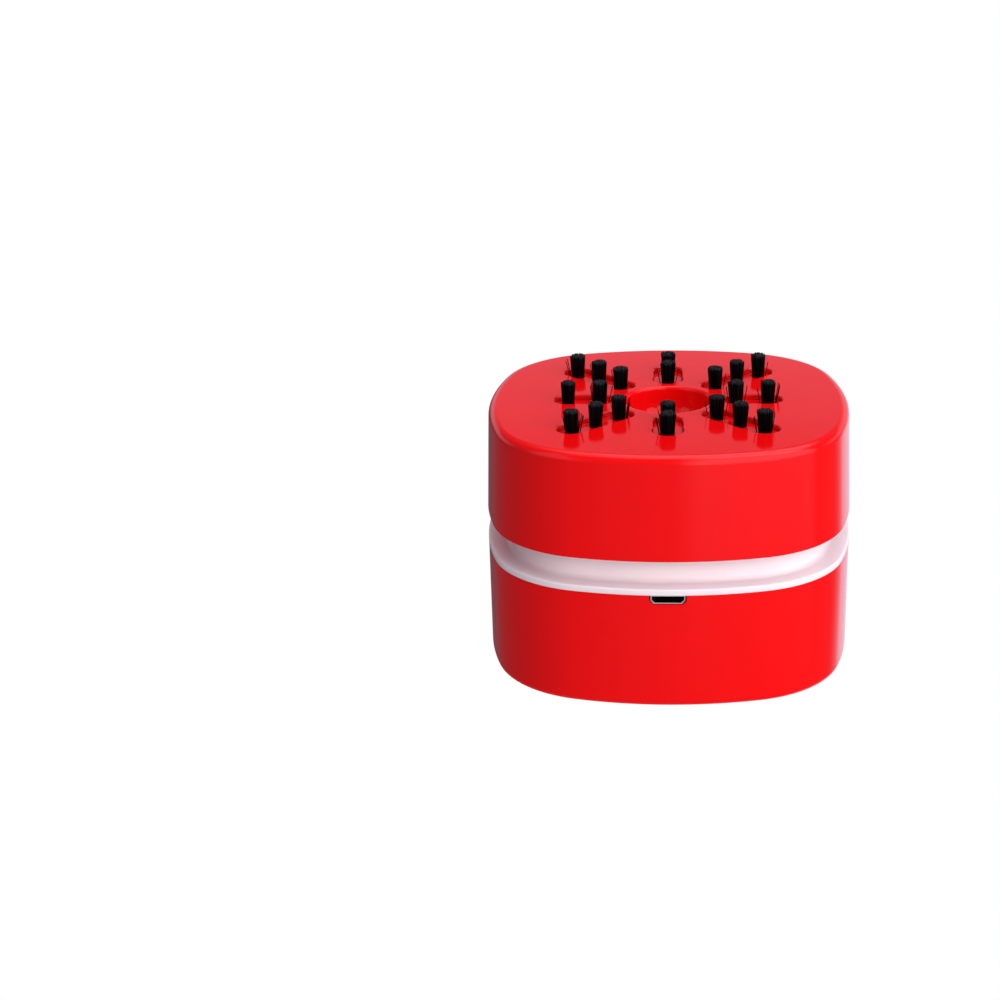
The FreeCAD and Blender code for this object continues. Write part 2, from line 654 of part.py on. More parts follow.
def make_motor():
    """Steel can with its bearing boss, and the moulded end cap on top."""
    body = new_body("motor_can")
    bore = "shaft_radius + shaft_gap"
    profile = new_sketch(body, plane="XZ_Plane")
    draw_outline(profile, [
        (bore, CUP_RIM), ("motor_boss", CUP_RIM), ("motor_boss", COVER_TOP),
        ("motor_radius", COVER_TOP), ("motor_radius", MOTOR_TOP + " - motor_edge"),
        ("motor_radius - motor_edge", MOTOR_TOP), (bore, MOTOR_TOP),
    ])
    revolve(body, profile)
    thread = new_sketch(body, COVER_TOP)
    draw_circle(thread, SCREW_HOLE, "motor_screw_ring")
    repeat_round(body, [pocket(body, thread, "short_bite + pilot_gap", upward=True)], 2)

    cap = new_body("motor_cap")
    ring = new_sketch(cap, MOTOR_TOP)
    draw_circle(ring, "motor_radius - cap_inset")
    draw_circle(ring, bore)
    pad(cap, ring, "cap_length")


# ---- the rotor -------------------------------------------------------------------------

def make_rotor_shaft():
    """Steel shaft from the impeller's hub through the motor."""
    shaft = doc.addObject("Part::Cylinder", "rotor_shaft")
    shaft.Label = "rotor_shaft"
    bind(shaft, "Radius", "shaft_radius")
    bind(shaft, "Height", span(BLADE_END, SHAFT_TOP))
    bind(shaft, "Placement.Base.z", BLADE_END)
    sub_parts.append(shaft)


def make_impeller():
    """Disc with a hub and backward-curved blades between two circles."""
    body = new_body("impeller")
    profile = new_sketch(body, plane="XZ_Plane")
    draw_outline(profile, [
        ("shaft_radius", BLADE_END), ("hub_radius", BLADE_END), ("hub_radius", DISC_UNDER),
        (IMPELLER_EDGE, DISC_UNDER), (IMPELLER_EDGE, DISC_TOP), ("shaft_radius", DISC_TOP),
    ])
    revolve(body, profile)

    blade = new_sketch(body, BLADE_END)
    middle = Vector(total("blade_centre_x"), total("blade_centre_y"), 0)
    inner_bend = total("blade_curve")
    outer_bend = total("blade_curve + blade_thick")
    start_circle = blade.addGeometry(Part.Circle(Vector(), Vector(0, 0, 1), total("blade_inner")), True)
    end_circle = blade.addGeometry(Part.Circle(Vector(), Vector(0, 0, 1), total(IMPELLER_EDGE)), True)
    for circle, radius in ((start_circle, "blade_inner"), (end_circle, IMPELLER_EDGE)):
        pin(blade, circle, 3, "0", "0")
        set_size(blade, Sketcher.Constraint("Radius", circle, total(radius)), radius)
    arcs = []
    for bend in (inner_bend, outer_bend):
        start = bend_angle(middle, bend, total("blade_inner"))
        end = bend_angle(middle, bend, total(IMPELLER_EDGE))
        arc = Part.ArcOfCircle(Part.Circle(middle, Vector(0, 0, 1), bend), start, end)
        arcs.append(blade.addGeometry(arc, False))
    for arc, chain in zip(arcs, ("blade_curve", "blade_curve + blade_thick")):
        pin(blade, arc, 3, "blade_centre_x", "blade_centre_y")
        set_size(blade, Sketcher.Constraint("Radius", arc, total(chain)), chain)
        blade.addConstraint(Sketcher.Constraint("PointOnObject", arc, 1, start_circle))
        blade.addConstraint(Sketcher.Constraint("PointOnObject", arc, 2, end_circle))
    for point in (1, 2):
        ends = [blade.getPoint(arc, point) for arc in arcs]
        line = blade.addGeometry(Part.LineSegment(*ends), False)
        blade.addConstraint(Sketcher.Constraint("Coincident", line, 1, arcs[0], point))
        blade.addConstraint(Sketcher.Constraint("Coincident", line, 2, arcs[1], point))
    repeat_round(body, [pad(body, blade, span(BLADE_END, DISC_UNDER))], BLADES)


def bend_angle(middle, bend, reach):
    """Direction, seen from the middle of a bend, of its right-hand point at a given reach."""
    away = middle.Length
    toward_axis = math.atan2(-middle.y, -middle.x)
    spread = math.acos((away ** 2 + bend ** 2 - reach ** 2) / (2 * away * bend))
    return toward_axis + spread


# ---- the upper housing: presses down on the motor unit ---------------------------------

def draw_notch(sketch, ease=""):
    """Outline of the port notch, standing on the shell's rim; ease such as '- fit_gap' shrinks it."""
    wide = "notch_half " + ease
    narrow = "notch_narrow " + ease
    shoulder = SHELL_RIM + " + notch_corner"
    top = SHELL_RIM + " + notch_height " + ease
    draw_outline(sketch, [
        (flip(wide), SHELL_RIM), (wide, SHELL_RIM), (wide, shoulder),
        (narrow, top), (flip(narrow), top), (flip(wide), shoulder),
    ])


def make_upper_shell():
    """Drafted cap with a recess for the top panel, two rim notches, bosses and posts."""
    body = new_body("upper_shell")
    outline = new_sketch(body, SHELL_RIM)
    draw_rounded_square(outline)
    pad(body, outline, "shell_height", draft="- shell_draft")
    round_edges(body, "top_fillet", SHELL_TOP)
    recess = new_sketch(body, SHELL_TOP)
    draw_rounded_square(recess, "- panel_inset")
    pocket(body, recess, "panel_depth")
    cavity = new_sketch(body, SHELL_RIM)
    draw_rounded_square(cavity, "- wall")
    cavity_height = span(SHELL_RIM, CEILING)
    pocket(body, cavity, cavity_height, upward=True, draft="- shell_draft")

    boss = new_sketch(body, SHELL_RIM, turn=EIGHTH_TURN)
    draw_circle(boss, "boss_radius", RING_SCREWS)
    repeat_round(body, [pad(body, boss, cavity_height)])
    post = new_sketch(body, BOARD_TOP)
    draw_circle(post, "post_radius", BOARD_SCREWS)
    repeat_round(body, [pad(body, post, span(BOARD_TOP, CEILING))])
    pilot = new_sketch(body, SHELL_RIM, turn=EIGHTH_TURN)
    draw_circle(pilot, SCREW_HOLE, RING_SCREWS)
    repeat_round(body, [pocket(body, pilot, "deep_bite + pilot_gap", upward=True)])
    small_pilot = new_sketch(body, BOARD_TOP)
    draw_circle(small_pilot, SCREW_HOLE, BOARD_SCREWS)
    repeat_round(body, [pocket(body, small_pilot, "short_bite + pilot_gap", upward=True)])

    notch = new_sketch(body, plane="XZ_Plane")
    draw_notch(notch)
    repeat_round(body, [pocket(body, notch, "half_width")], 2)


def make_top_panel():
    """Glossy plate in the recess of the upper shell, pressed to switch on and off."""
    body = new_body("top_panel")
    plate = new_sketch(body, PANEL_SEAT)
    draw_rounded_square(plate, "- panel_inset - fit_gap")
    pad(body, plate, "panel_thick")
    bevel_edges(body, "panel_edge", PANEL_SEAT + " + panel_thick")


def make_light_ring():
    """Translucent ring flush with the outline, its recessed neck, screw ears and rear window."""
    body = new_body("light_ring")
    ring = new_sketch(body, RING_UNDER)
    draw_rounded_square(ring)
    draw_rounded_square(ring, "- neck_inset - neck_wall")
    pad(body, ring, "ring_thick")
    bevel_edges(body, "ring_edge", RING_UNDER, beyond=total("half_width") - 1)
    neck = new_sketch(body, NECK_END)
    draw_rounded_square(neck, "- neck_inset")
    draw_rounded_square(neck, "- neck_inset - neck_wall")
    pad(body, neck, "neck_depth")
    ear = new_sketch(body, RING_UNDER, turn=EIGHTH_TURN)
    draw_slot(ear, RING_SCREWS, RING_SCREWS + " + ear_reach", "ear_radius")
    repeat_round(body, [pad(body, ear, "ring_thick")])
    hole = new_sketch(body, SHELL_RIM, turn=EIGHTH_TURN)
    draw_circle(hole, SCREW_HOLE, RING_SCREWS)
    repeat_round(body, [pocket(body, hole, "ring_thick")])

    window = new_sketch(body, "- half_width + fit_gap + fit_gap", plane="XZ_Plane")
    draw_notch(window, "- fit_gap")
    pad(body, window, "wall - fit_gap")


def make_usb_port():
    """Sheet metal shell of the charging socket, with the contact tongue inside."""
    body = new_body("usb_port")
    low = SHELL_RIM + " + port_lift"
    bend = SHELL_RIM + " + notch_corner"
    shell = new_sketch(body, PORT_MOUTH, plane="XZ_Plane")
    draw_outline(shell, [
        ("- port_half", low), ("port_half", low), ("port_half", bend),
        ("port_narrow", BOARD), ("- port_narrow", BOARD), ("- port_half", bend),
    ])
    pad(body, shell, "port_length", downward=True)
    opening = new_sketch(body, PORT_MOUTH, plane="XZ_Plane")
    inside_low = low + " + port_skin"
    inside_top = BOARD + " - port_skin"
    draw_outline(opening, [
        ("- port_half + port_skin", inside_low), ("port_half - port_skin", inside_low),
        ("port_half - port_skin", bend), ("port_narrow - port_skin", inside_top),
        ("- port_narrow + port_skin", inside_top), ("- port_half + port_skin", bend),
    ])
    pocket(body, opening, "port_length - port_skin")

    tongue = new_body("usb_tongue")
    blade = new_sketch(tongue, PORT_MOUTH + " - tongue_short", plane="XZ_Plane")
    tongue_low = inside_low + " + port_skin"
    draw_box(blade, "- tongue_half", "tongue_half", tongue_low, tongue_low + " + tongue_thick")
    pad(tongue, blade, "port_length - port_skin - tongue_short", downward=True)


def make_circuit_board():
    """Ring board round the motor with a tail to the port and one to the charge light."""
    body = new_body("circuit_board")
    disc = new_sketch(body, BOARD)
    draw_circle(disc, BOARD_EDGE)
    pad(body, disc, "board_thick")
    tail = new_sketch(body, BOARD)
    draw_box(tail, "- board_tail_half", "board_tail_half", flip(PORT_MOUTH), PORT_MOUTH)
    pad(body, tail, "board_thick")
    opening = new_sketch(body, BOARD_TOP)
    draw_circle(opening, "motor_radius + board_gap")
    pocket(body, opening, "board_thick")
    hole = new_sketch(body, BOARD_TOP)
    draw_circle(hole, SCREW_HOLE, BOARD_SCREWS)
    repeat_round(body, [pocket(body, hole, "board_thick")])


def make_block(label, long, wide, high, level):
    """A plain block that stands on a level."""
    block = doc.addObject("Part::Box", label)
    block.Label = label
    bind(block, "Length", long)
    bind(block, "Width", wide)
    bind(block, "Height", high)
    bind(block, "Placement.Base.z", level)
    sub_parts.append(block)
    return block


def make_battery():
    """Flat cell glued under the ceiling."""
    battery = make_block("battery", "battery_long", "battery_wide", "battery_thick", BATTERY_UNDER)
    battery.setExpression("Placement.Base.x", "-Sizes.battery_long / 2")
    battery.setExpression("Placement.Base.y", "-Sizes.battery_wide / 2")


def make_charge_led():
    """Small light under the board's rear tail, behind the ring's window."""
    level = BOARD + " - led_height"
    light = make_block("charge_led", "led_half + led_half", "led_depth", "led_height", level)
    bind(light, "Placement.Base.x", "- led_half")
    bind(light, "Placement.Base.y", PORT_MOUTH + " - led_depth")


def make_fasteners():
    """Four groups of cap screws and the pair that holds the motor."""
    plate_length = "plate_thick + floor_thick - face_cover"
    cover_length = "cover_thick + deep_bite"
    motor_length = "cover_thick + short_bite"
    ring_length = "ring_thick + deep_bite"
    board_length = "board_thick + short_bite"
    screw_ring("plate_screws", PLATE_SCREWS, PLATE_TOP, plate_length, True, turn=SIXTEENTH_TURN)
    screw_ring("cover_screws", COVER_SCREWS, COVER_TOP, cover_length, True, turn=EIGHTH_TURN)
    screw_ring("motor_screws", "motor_screw_ring", CUP_RIM, motor_length, False, count=2)
    screw_ring("ring_screws", RING_SCREWS, RING_UNDER, ring_length, False, turn=EIGHTH_TURN)
    screw_ring("board_screws", BOARD_SCREWS, BOARD, board_length, False)


make_dust_box()
make_brush_plate()
make_inlet_duct()
tuft_ring("inner_tufts", "inner_ring", 2 * SIDES)
tuft_ring("middle_tufts", "middle_ring", 2 * SIDES)
tuft_ring("outer_tufts", "outer_ring", SIDES, EIGHTH_TURN)
make_motor_carrier()
make_seal_gasket()
make_filter()
make_fan_cover()
make_motor()
make_rotor_shaft()
make_impeller()
make_upper_shell()
make_top_panel()
make_light_ring()
make_usb_port()
make_circuit_board()
make_battery()
make_charge_led()
make_fasteners()
doc.recompute()

for item in doc.Objects:
    if "Invalid" in item.State or "Error" in item.State:
        raise RuntimeError(f"{item.Label} failed: {item.State}")
for sub_part in sub_parts:
    if sub_part.Shape.isNull() or not sub_part.Shape.isValid():
        raise RuntimeError(f"{sub_part.Label} has no valid shape")

os.makedirs("parts", exist_ok=True)
for sub_part in sub_parts:
    sub_part.Shape.exportStep(f"parts/{sub_part.Label}.step")
    print(sub_part.Label, len(sub_part.Shape.Solids), round(sub_part.Shape.Volume, 1))
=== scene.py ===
import json
import math

import bmesh
import bpy
from mathutils import Matrix, Vector

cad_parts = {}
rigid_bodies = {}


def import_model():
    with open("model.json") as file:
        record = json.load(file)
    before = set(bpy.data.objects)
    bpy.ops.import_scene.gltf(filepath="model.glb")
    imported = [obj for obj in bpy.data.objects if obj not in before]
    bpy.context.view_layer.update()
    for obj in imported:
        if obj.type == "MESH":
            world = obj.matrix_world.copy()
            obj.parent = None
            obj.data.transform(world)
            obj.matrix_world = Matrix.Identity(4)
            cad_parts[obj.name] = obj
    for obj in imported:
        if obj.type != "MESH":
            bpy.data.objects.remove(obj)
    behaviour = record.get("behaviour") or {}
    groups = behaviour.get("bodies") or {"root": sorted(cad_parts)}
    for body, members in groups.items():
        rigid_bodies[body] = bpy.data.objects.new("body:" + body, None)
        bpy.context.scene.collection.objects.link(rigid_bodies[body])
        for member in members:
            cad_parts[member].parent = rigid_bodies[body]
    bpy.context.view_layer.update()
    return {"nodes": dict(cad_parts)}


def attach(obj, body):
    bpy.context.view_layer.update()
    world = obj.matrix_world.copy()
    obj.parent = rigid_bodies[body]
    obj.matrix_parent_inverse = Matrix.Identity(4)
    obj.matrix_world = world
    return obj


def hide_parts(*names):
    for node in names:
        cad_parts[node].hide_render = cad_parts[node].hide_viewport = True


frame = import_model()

for leftover in [item for item in bpy.data.objects if item.name in ("Cube", "Light", "Camera")]:
    bpy.data.objects.remove(leftover)


# ---- dust box ---------------------------------------------------------------------------
# Tub of glossy red ABS, injection moulded with a little draft so that it leaves its mould.
# Its underside is the brush face: a round inlet with a rolled lip, and eight slots round it.
# The motor unit sits on a step inside the tub.

def add_node(tree, kind, inputs=None, **settings):
    """Adds a node and fills its sockets, by name or number, with values or other sockets."""
    node = tree.nodes.new(kind)
    for setting, value in settings.items():
        setattr(node, setting, value)
    for socket, value in (inputs or {}).items():
        if isinstance(value, bpy.types.NodeSocket):
            tree.links.new(value, node.inputs[socket])
        else:
            node.inputs[socket].default_value = value
    return node


def calc(tree, operation, *values):
    """One step of arithmetic in a tree."""
    return add_node(tree, "ShaderNodeMath", dict(enumerate(values)), operation=operation).outputs[0]


def times(tree, *factors):
    """The product of numbers or sockets."""
    result = factors[0]
    for factor in factors[1:]:
        result = calc(tree, "MULTIPLY", result, factor)
    return result


def place_at(tree, across=0.0, along=0.0, up=0.0):
    """A vector from three numbers or sockets."""
    return add_node(tree, "ShaderNodeCombineXYZ", {0: across, 1: along, 2: up}).outputs[0]


def joined(tree, *shapes):
    """Several shapes as one."""
    join = add_node(tree, "GeometryNodeJoinGeometry")
    for shape in shapes:
        tree.links.new(shape, join.inputs[0])
    return join.outputs[0]


def shifted(tree, shape, across=0.0, along=0.0, up=0.0):
    """A shape moved to another place."""
    return add_node(tree, "GeometryNodeTransform", {
        "Geometry": shape, "Translation": place_at(tree, across, along, up)}).outputs[0]


def cut_away(tree, shape, tool, crossing=False):
    """A shape less another, whose own parts may cross."""
    return add_node(tree, "GeometryNodeMeshBoolean", {
        "Mesh 1": shape, "Mesh 2": tool, "Self Intersection": crossing},
        operation="DIFFERENCE", solver="EXACT").outputs[0]


def made_real(tree, shape):
    """A shape's instances as plain mesh."""
    return add_node(tree, "GeometryNodeRealizeInstances", {"Geometry": shape}).outputs[0]


QUARTER_TURN = math.pi / 2


def four_round(tree, shape, turn):
    """Four copies of a shape round the axis, the first at an angle in radians."""
    points = add_node(tree, "GeometryNodeMeshLine", {"Count": 4, "Offset": (0, 0, 0)}).outputs[0]
    index = add_node(tree, "GeometryNodeInputIndex").outputs[0]
    turning = place_at(tree, up=calc(tree, "MULTIPLY_ADD", index, QUARTER_TURN, turn))
    return add_node(tree, "GeometryNodeInstanceOnPoints", {
        "Points": points, "Instance": shape, "Rotation": turning}).outputs[0]


def start_tree(name, sizes):
    """A geometry tree that takes a shape and named sizes; returns the tree and its inputs."""
    tree = bpy.data.node_groups.new(name, "GeometryNodeTree")
    tree.interface.new_socket("Geometry", in_out="INPUT", socket_type="NodeSocketGeometry")
    tree.interface.new_socket("Geometry", in_out="OUTPUT", socket_type="NodeSocketGeometry")
    for size, value in sizes.items():
        kind = "NodeSocketInt" if isinstance(value, int) else "NodeSocketFloat"
        tree.interface.new_socket(size, in_out="INPUT", socket_type=kind).default_value = value
    tree.interface.new_socket("Material", in_out="INPUT", socket_type="NodeSocketMaterial")
    return tree, tree.nodes.new("NodeGroupInput").outputs


def end_tree(tree, shape, material):
    """Closes a tree: instances made real, material set."""
    painted = add_node(tree, "GeometryNodeSetMaterial", {
        "Geometry": made_real(tree, shape), "Material": material})
    add_node(tree, "NodeGroupOutput", {"Geometry": painted.outputs[0]})


def run_tree(piece, tree, values):
    """Hangs a tree on a piece and fills its named inputs."""
    modifier = piece.modifiers.new(tree.name, "NODES")
    modifier.node_group = tree
    for item in tree.interface.items_tree:
        if item.in_out == "INPUT" and item.name in values:
            modifier[item.identifier] = values[item.name]


def new_piece(name, points=(), edges=(), faces=()):
    """A new object in the scene, empty or from points, edges and faces."""
    mesh = bpy.data.meshes.new(name)
    mesh.from_pydata(points, edges, faces)
    piece = bpy.data.objects.new(name, mesh)
    bpy.context.scene.collection.objects.link(piece)
    return piece


def bake(piece):
    """Turns a piece's modifiers into plain mesh."""
    evaluated = piece.evaluated_get(bpy.context.evaluated_depsgraph_get())
    mesh = bpy.data.meshes.new_from_object(evaluated)
    piece.modifiers.clear()
    piece.data = mesh
    return mesh


def settle(piece, sharp_angle=35):
    """Bakes a piece, turns its faces outward and keeps flat faces flat between rounded edges."""
    mesh = bake(piece)
    shape = bmesh.new()
    shape.from_mesh(mesh)
    bmesh.ops.recalc_face_normals(shape, faces=shape.faces)
    shape.to_mesh(mesh)
    shape.free()
    mesh.shade_smooth()
    mesh.set_sharp_from_angle(angle=math.radians(sharp_angle))
    weighted = piece.modifiers.new("flat faces", "WEIGHTED_NORMAL")
    weighted.keep_sharp = True
    weighted.weight = 100
    bake(piece)


def stand_for(piece, body, slot, *nodes):
    """Puts a finished piece in the place of CAD nodes, on their body."""
    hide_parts(*nodes)
    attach(piece, body)


def lathe_tree():
    """Sweeps a profile round the rounded square, as a lathe does round a circle.

    Each profile point gives how far outside the outline it lies (x), how far it is pulled to
    the axis (y, 0 to 1) and its height (z). Four shallow side arcs meet four corner arcs, and
    a parallel line keeps their middles, so the same rule gives every wall, step and lip.
    """
    tree, sizes = start_tree("rounded square lathe", {
        "Half Width": 0.0425, "Side Radius": 0.0806, "Corner Radius": 0.0262, "Steps": 288,
    })
    points = add_node(tree, "GeometryNodeAttributeDomainSize", {
        "Geometry": sizes["Geometry"]}).outputs[0]
    columns = calc(tree, "ADD", sizes["Steps"], 1)
    grid = add_node(tree, "GeometryNodeMeshGrid", {"Vertices X": columns, "Vertices Y": points})
    index = add_node(tree, "GeometryNodeInputIndex").outputs[0]
    column = calc(tree, "FLOOR", calc(tree, "DIVIDE", calc(tree, "ADD", index, 0.5), points))
    row = calc(tree, "SUBTRACT", index, times(tree, column, points))
    place = add_node(tree, "GeometryNodeInputPosition").outputs[0]
    sample = add_node(tree, "GeometryNodeSampleIndex", {
        "Geometry": sizes["Geometry"], "Value": place, "Index": row}, data_type="FLOAT_VECTOR")
    profile = add_node(tree, "ShaderNodeSeparateXYZ", {0: sample.outputs[0]}).outputs

    direction = calc(tree, "DIVIDE", times(tree, column, 2 * math.pi), sizes["Steps"])
    quarter = calc(tree, "ROUND", calc(tree, "DIVIDE", direction, QUARTER_TURN))
    angle = calc(tree, "SUBTRACT", direction, times(tree, quarter, QUARTER_TURN))
    shift = calc(tree, "SUBTRACT", sizes["Side Radius"], sizes["Half Width"])
    gap = calc(tree, "SUBTRACT", sizes["Side Radius"], sizes["Corner Radius"])
    twice = times(tree, gap, gap, 2)
    root = calc(tree, "SQRT", calc(tree, "SUBTRACT", twice, times(tree, shift, shift)))
    reach = times(tree, calc(tree, "SUBTRACT", root, shift), 0.5)
    opening = calc(tree, "ARCTAN2", reach, calc(tree, "ADD", reach, shift))
    on_corner = calc(tree, "GREATER_THAN", calc(tree, "ABSOLUTE", angle), opening)
    side_middle = times(tree, shift, -1)
    to_corner = calc(tree, "SUBTRACT", reach, side_middle)
    middle_x = calc(tree, "MULTIPLY_ADD", on_corner, to_corner, side_middle)
    aside = times(tree, reach, calc(tree, "SIGN", angle))
    middle_y = times(tree, on_corner, aside)
    radius = calc(tree, "SUBTRACT", sizes["Side Radius"], times(tree, on_corner, gap))
    radius = calc(tree, "ADD", radius, profile[0])
    across = calc(tree, "MULTIPLY_ADD", radius, calc(tree, "COSINE", angle), middle_x)
    along = calc(tree, "MULTIPLY_ADD", radius, calc(tree, "SINE", angle), middle_y)
    kept = calc(tree, "SUBTRACT", 1, profile[1])
    across = times(tree, across, kept)
    along = times(tree, along, kept)
    flat = place_at(tree, across, along, profile[2])
    swung = add_node(tree, "ShaderNodeVectorRotate", {
        "Vector": flat, "Angle": times(tree, quarter, QUARTER_TURN),
    }, rotation_type="Z_AXIS")
    placed = add_node(tree, "GeometryNodeSetPosition", {
        "Geometry": grid.outputs["Mesh"], "Position": swung.outputs[0]})
    closed = add_node(tree, "GeometryNodeMergeByDistance", {
        "Geometry": placed.outputs[0], "Distance": 1e-6})
    end_tree(tree, closed.outputs[0], sizes["Material"])
    return tree


lathe = lathe_tree()


def lathed(name, profile, **values):
    """A closed solid from a profile of (outside the outline, height) in millimetres.

    A point on the axis has None for its distance.
    """
    points = []
    for outset, level in profile:
        pulled_in = outset is None
        points.append((0 if pulled_in else outset / 1000, int(pulled_in), level / 1000))
    piece = new_piece(name, points + points[:1])
    run_tree(piece, lathe, values)
    return piece


def turned(name, profile, radius, steps, material):
    """A round solid: the rounded square with one radius, in millimetres, all round."""
    same = dict.fromkeys(("Half Width", "Side Radius", "Corner Radius"), radius / 1000)
    return lathed(name, profile, **same, Steps=steps, Material=material)


def arc_points(middle, level, radius, start, end, steps=3):
    """Points of an arc in a profile, from one direction to another, in degrees from outward."""
    angles = [math.radians(start + (end - start) * i / steps) for i in range(steps + 1)]
    return [(middle + radius * math.cos(a), level + radius * math.sin(a)) for a in angles]


SLOT_SIZES = {"Slot Radius": 0.0034, "Near": 0.0158, "Short": 0.0232, "Long": 0.0307}


def slot_bars(tree, sizes, post, foot):
    """Eight upright bars with round ends, four short and four long, stretched from one post."""
    rings = []
    for turn, far in ((0, "Short"), (QUARTER_TURN / 2, "Long")):
        ends = joined(tree, *[shifted(tree, post, sizes[end], up=foot) for end in ("Near", far)])
        bar = add_node(tree, "GeometryNodeConvexHull", {"Geometry": ends}).outputs[0]
        rings.append(four_round(tree, bar, turn))
    return made_real(tree, joined(tree, *rings))


def slot_tree():
    """Cuts eight slots with a softened edge, alternating short and long round the inlet."""
    tree, sizes = start_tree("brush slots", {
        **SLOT_SIZES, "Face": 0.0047, "Depth": 0.0024, "Soft Edge": 0.0003, "Overshoot": 0.001})
    radius, edge, past = sizes["Slot Radius"], sizes["Soft Edge"], sizes["Overshoot"]
    well = (radius, past, calc(tree, "ADD", sizes["Depth"], past))
    mouth = (calc(tree, "MULTIPLY_ADD", edge, 2, radius), edge, edge)
    shape = sizes["Geometry"]
    for foot_radius, below, above in (well, mouth):
        post = add_node(tree, "GeometryNodeMeshCone", {
            "Vertices": 48, "Radius Bottom": foot_radius, "Radius Top": radius,
            "Depth": calc(tree, "ADD", below, above)}).outputs[0]
        foot = calc(tree, "SUBTRACT", sizes["Face"], below)
        shape = cut_away(tree, shape, slot_bars(tree, sizes, post, foot))
    end_tree(tree, shape, sizes["Material"])
    return tree


def surface_group():
    """How a moulded skin differs from a perfect one: faint ripple, fine grain, uneven polish."""
    group = bpy.data.node_groups.new("moulded skin", "ShaderNodeTree")
    inputs = {
        "Roughness": 0.2, "Unevenness": 0.05, "Ripple": 0.1, "Grain": 0.1, "Grain Size": 9000.0}
    outputs = {
        "Roughness": "NodeSocketFloat", "Mottle": "NodeSocketFloat", "Normal": "NodeSocketVector"}
    for name, value in inputs.items():
        socket = group.interface.new_socket(name, in_out="INPUT", socket_type="NodeSocketFloat")
        socket.default_value = value
    for name, kind in outputs.items():
        group.interface.new_socket(name, in_out="OUTPUT", socket_type=kind)
    sizes = group.nodes.new("NodeGroupInput").outputs
    place = add_node(group, "ShaderNodeTexCoord").outputs["Object"]

    def noise(scale, detail):
        return add_node(group, "ShaderNodeTexNoise", {
            "Vector": place, "Scale": scale, "Detail": detail}).outputs[0]

    patches = noise(140.0, 4.0)
    uneven = calc(
        group, "MULTIPLY_ADD", calc(group, "SUBTRACT", patches, 0.5),
        sizes["Unevenness"], sizes["Roughness"])
    ripple = add_node(group, "ShaderNodeBump", {
        "Height": noise(55.0, 1.0), "Strength": sizes["Ripple"], "Distance": 0.0004})
    fine = add_node(group, "ShaderNodeBump", {
        "Height": noise(sizes["Grain Size"], 2.0), "Strength": sizes["Grain"],
        "Distance": 0.00002, "Normal": ripple.outputs[0]})
    add_node(group, "NodeGroupOutput", {
        "Roughness": uneven, "Mottle": patches, "Normal": fine.outputs[0]})
    return group


moulded_skin = surface_group()


def new_material(name):
    """A fresh material, its nodes and its surface."""
    material = bpy.data.materials.new(name)
    material.use_nodes = True
    return material, material.node_tree, material.node_tree.nodes["Principled BSDF"]


def skinned(name, colour, shade, skin, **shader):
    """A material of two close colours mottled together under the moulded skin."""
    material, nodes, surface = new_material(name)
    for socket, value in shader.items():
        surface.inputs[socket.replace("_", " ")].default_value = value
    group = add_node(nodes, "ShaderNodeGroup", node_tree=moulded_skin)
    for socket, value in skin.items():
        group.inputs[socket].default_value = value
    blend = add_node(nodes, "ShaderNodeMix", {
        "Factor": group.outputs["Mottle"], 6: (*colour, 1), 7: (*shade, 1)}, data_type="RGBA")
    nodes.links.new(blend.outputs[2], surface.inputs["Base Color"])
    nodes.links.new(group.outputs["Roughness"], surface.inputs["Roughness"])
    nodes.links.new(group.outputs["Normal"], surface.inputs["Normal"])
    return material


red_gloss = skinned(
    "red gloss", (0.87, 0.0022, 0.003), (0.90, 0.0034, 0.004),
    {"Roughness": 0.085, "Unevenness": 0.03, "Ripple": 0.012, "Grain": 0.05}, IOR=1.5)

BOX_RIM = 28.9
BRUSH_FACE = 4.7
BOX_DRAFT = math.tan(math.radians(1.6))


def box_wall(level):
    """How far the tub's drafted wall has come in from the outline."""
    return -(BOX_RIM - level) * BOX_DRAFT


def box_profile():
    """The tub's section: face, outer wall, rim, inner wall with its step, and floor."""
    fillet, ease = 2.0, 0.2
    wall, step, ledge, floor = 2.2, 3.8, 18.2, 7.1
    middle = box_wall(BRUSH_FACE + fillet) - fillet
    return [
        (None, BRUSH_FACE),
        *arc_points(middle, BRUSH_FACE + fillet, fillet, -90, 0, 10),
        *arc_points(-ease, BOX_RIM - ease, ease, 0, 90),
        *arc_points(ease - wall, BOX_RIM - ease, ease, 90, 180),
        (box_wall(ledge) - wall, ledge),
        *arc_points(ease - step, ledge - ease, ease, 90, 180),
        (-step - (ledge - floor) * BOX_DRAFT, floor), (None, floor),
    ]


dust_box = lathed("tub_moulding", box_profile(), Material=red_gloss)
run_tree(dust_box, slot_tree(), {"Material": red_gloss})
INLET_RADIUS, INLET_LIP = 9.9, 0.8
lip = arc_points(INLET_LIP, BRUSH_FACE + INLET_LIP, INLET_LIP, -90, -180, 8)
below, above = 3.5, 9.0
inlet_cutter = turned(
    "inlet_cutter", [(None, below), (INLET_LIP, below), *lip, (0, above), (None, above)],
    INLET_RADIUS, steps=96, material=red_gloss)
inlet_cut = dust_box.modifiers.new("inlet", "BOOLEAN")
inlet_cut.object = inlet_cutter
inlet_cut.solver = "EXACT"
settle(dust_box, sharp_angle=40)
bpy.data.objects.remove(inlet_cutter)
stand_for(dust_box, "base", "red_plastic", "dust_box")


# ---- brush plate and inlet duct ---------------------------------------------------------
# A flat red ring screwed inside the tub carries the tufts; its raised islands stand in the
# slots, a little below the face. The hood over the inlet has a rounded inside that turns the
# air to one side, so that dust stays in the tub.

def paint(material, *nodes):
    """Gives CAD nodes that are shown as they are a material."""
    for node in nodes:
        frame["nodes"][node].data.materials[0] = material


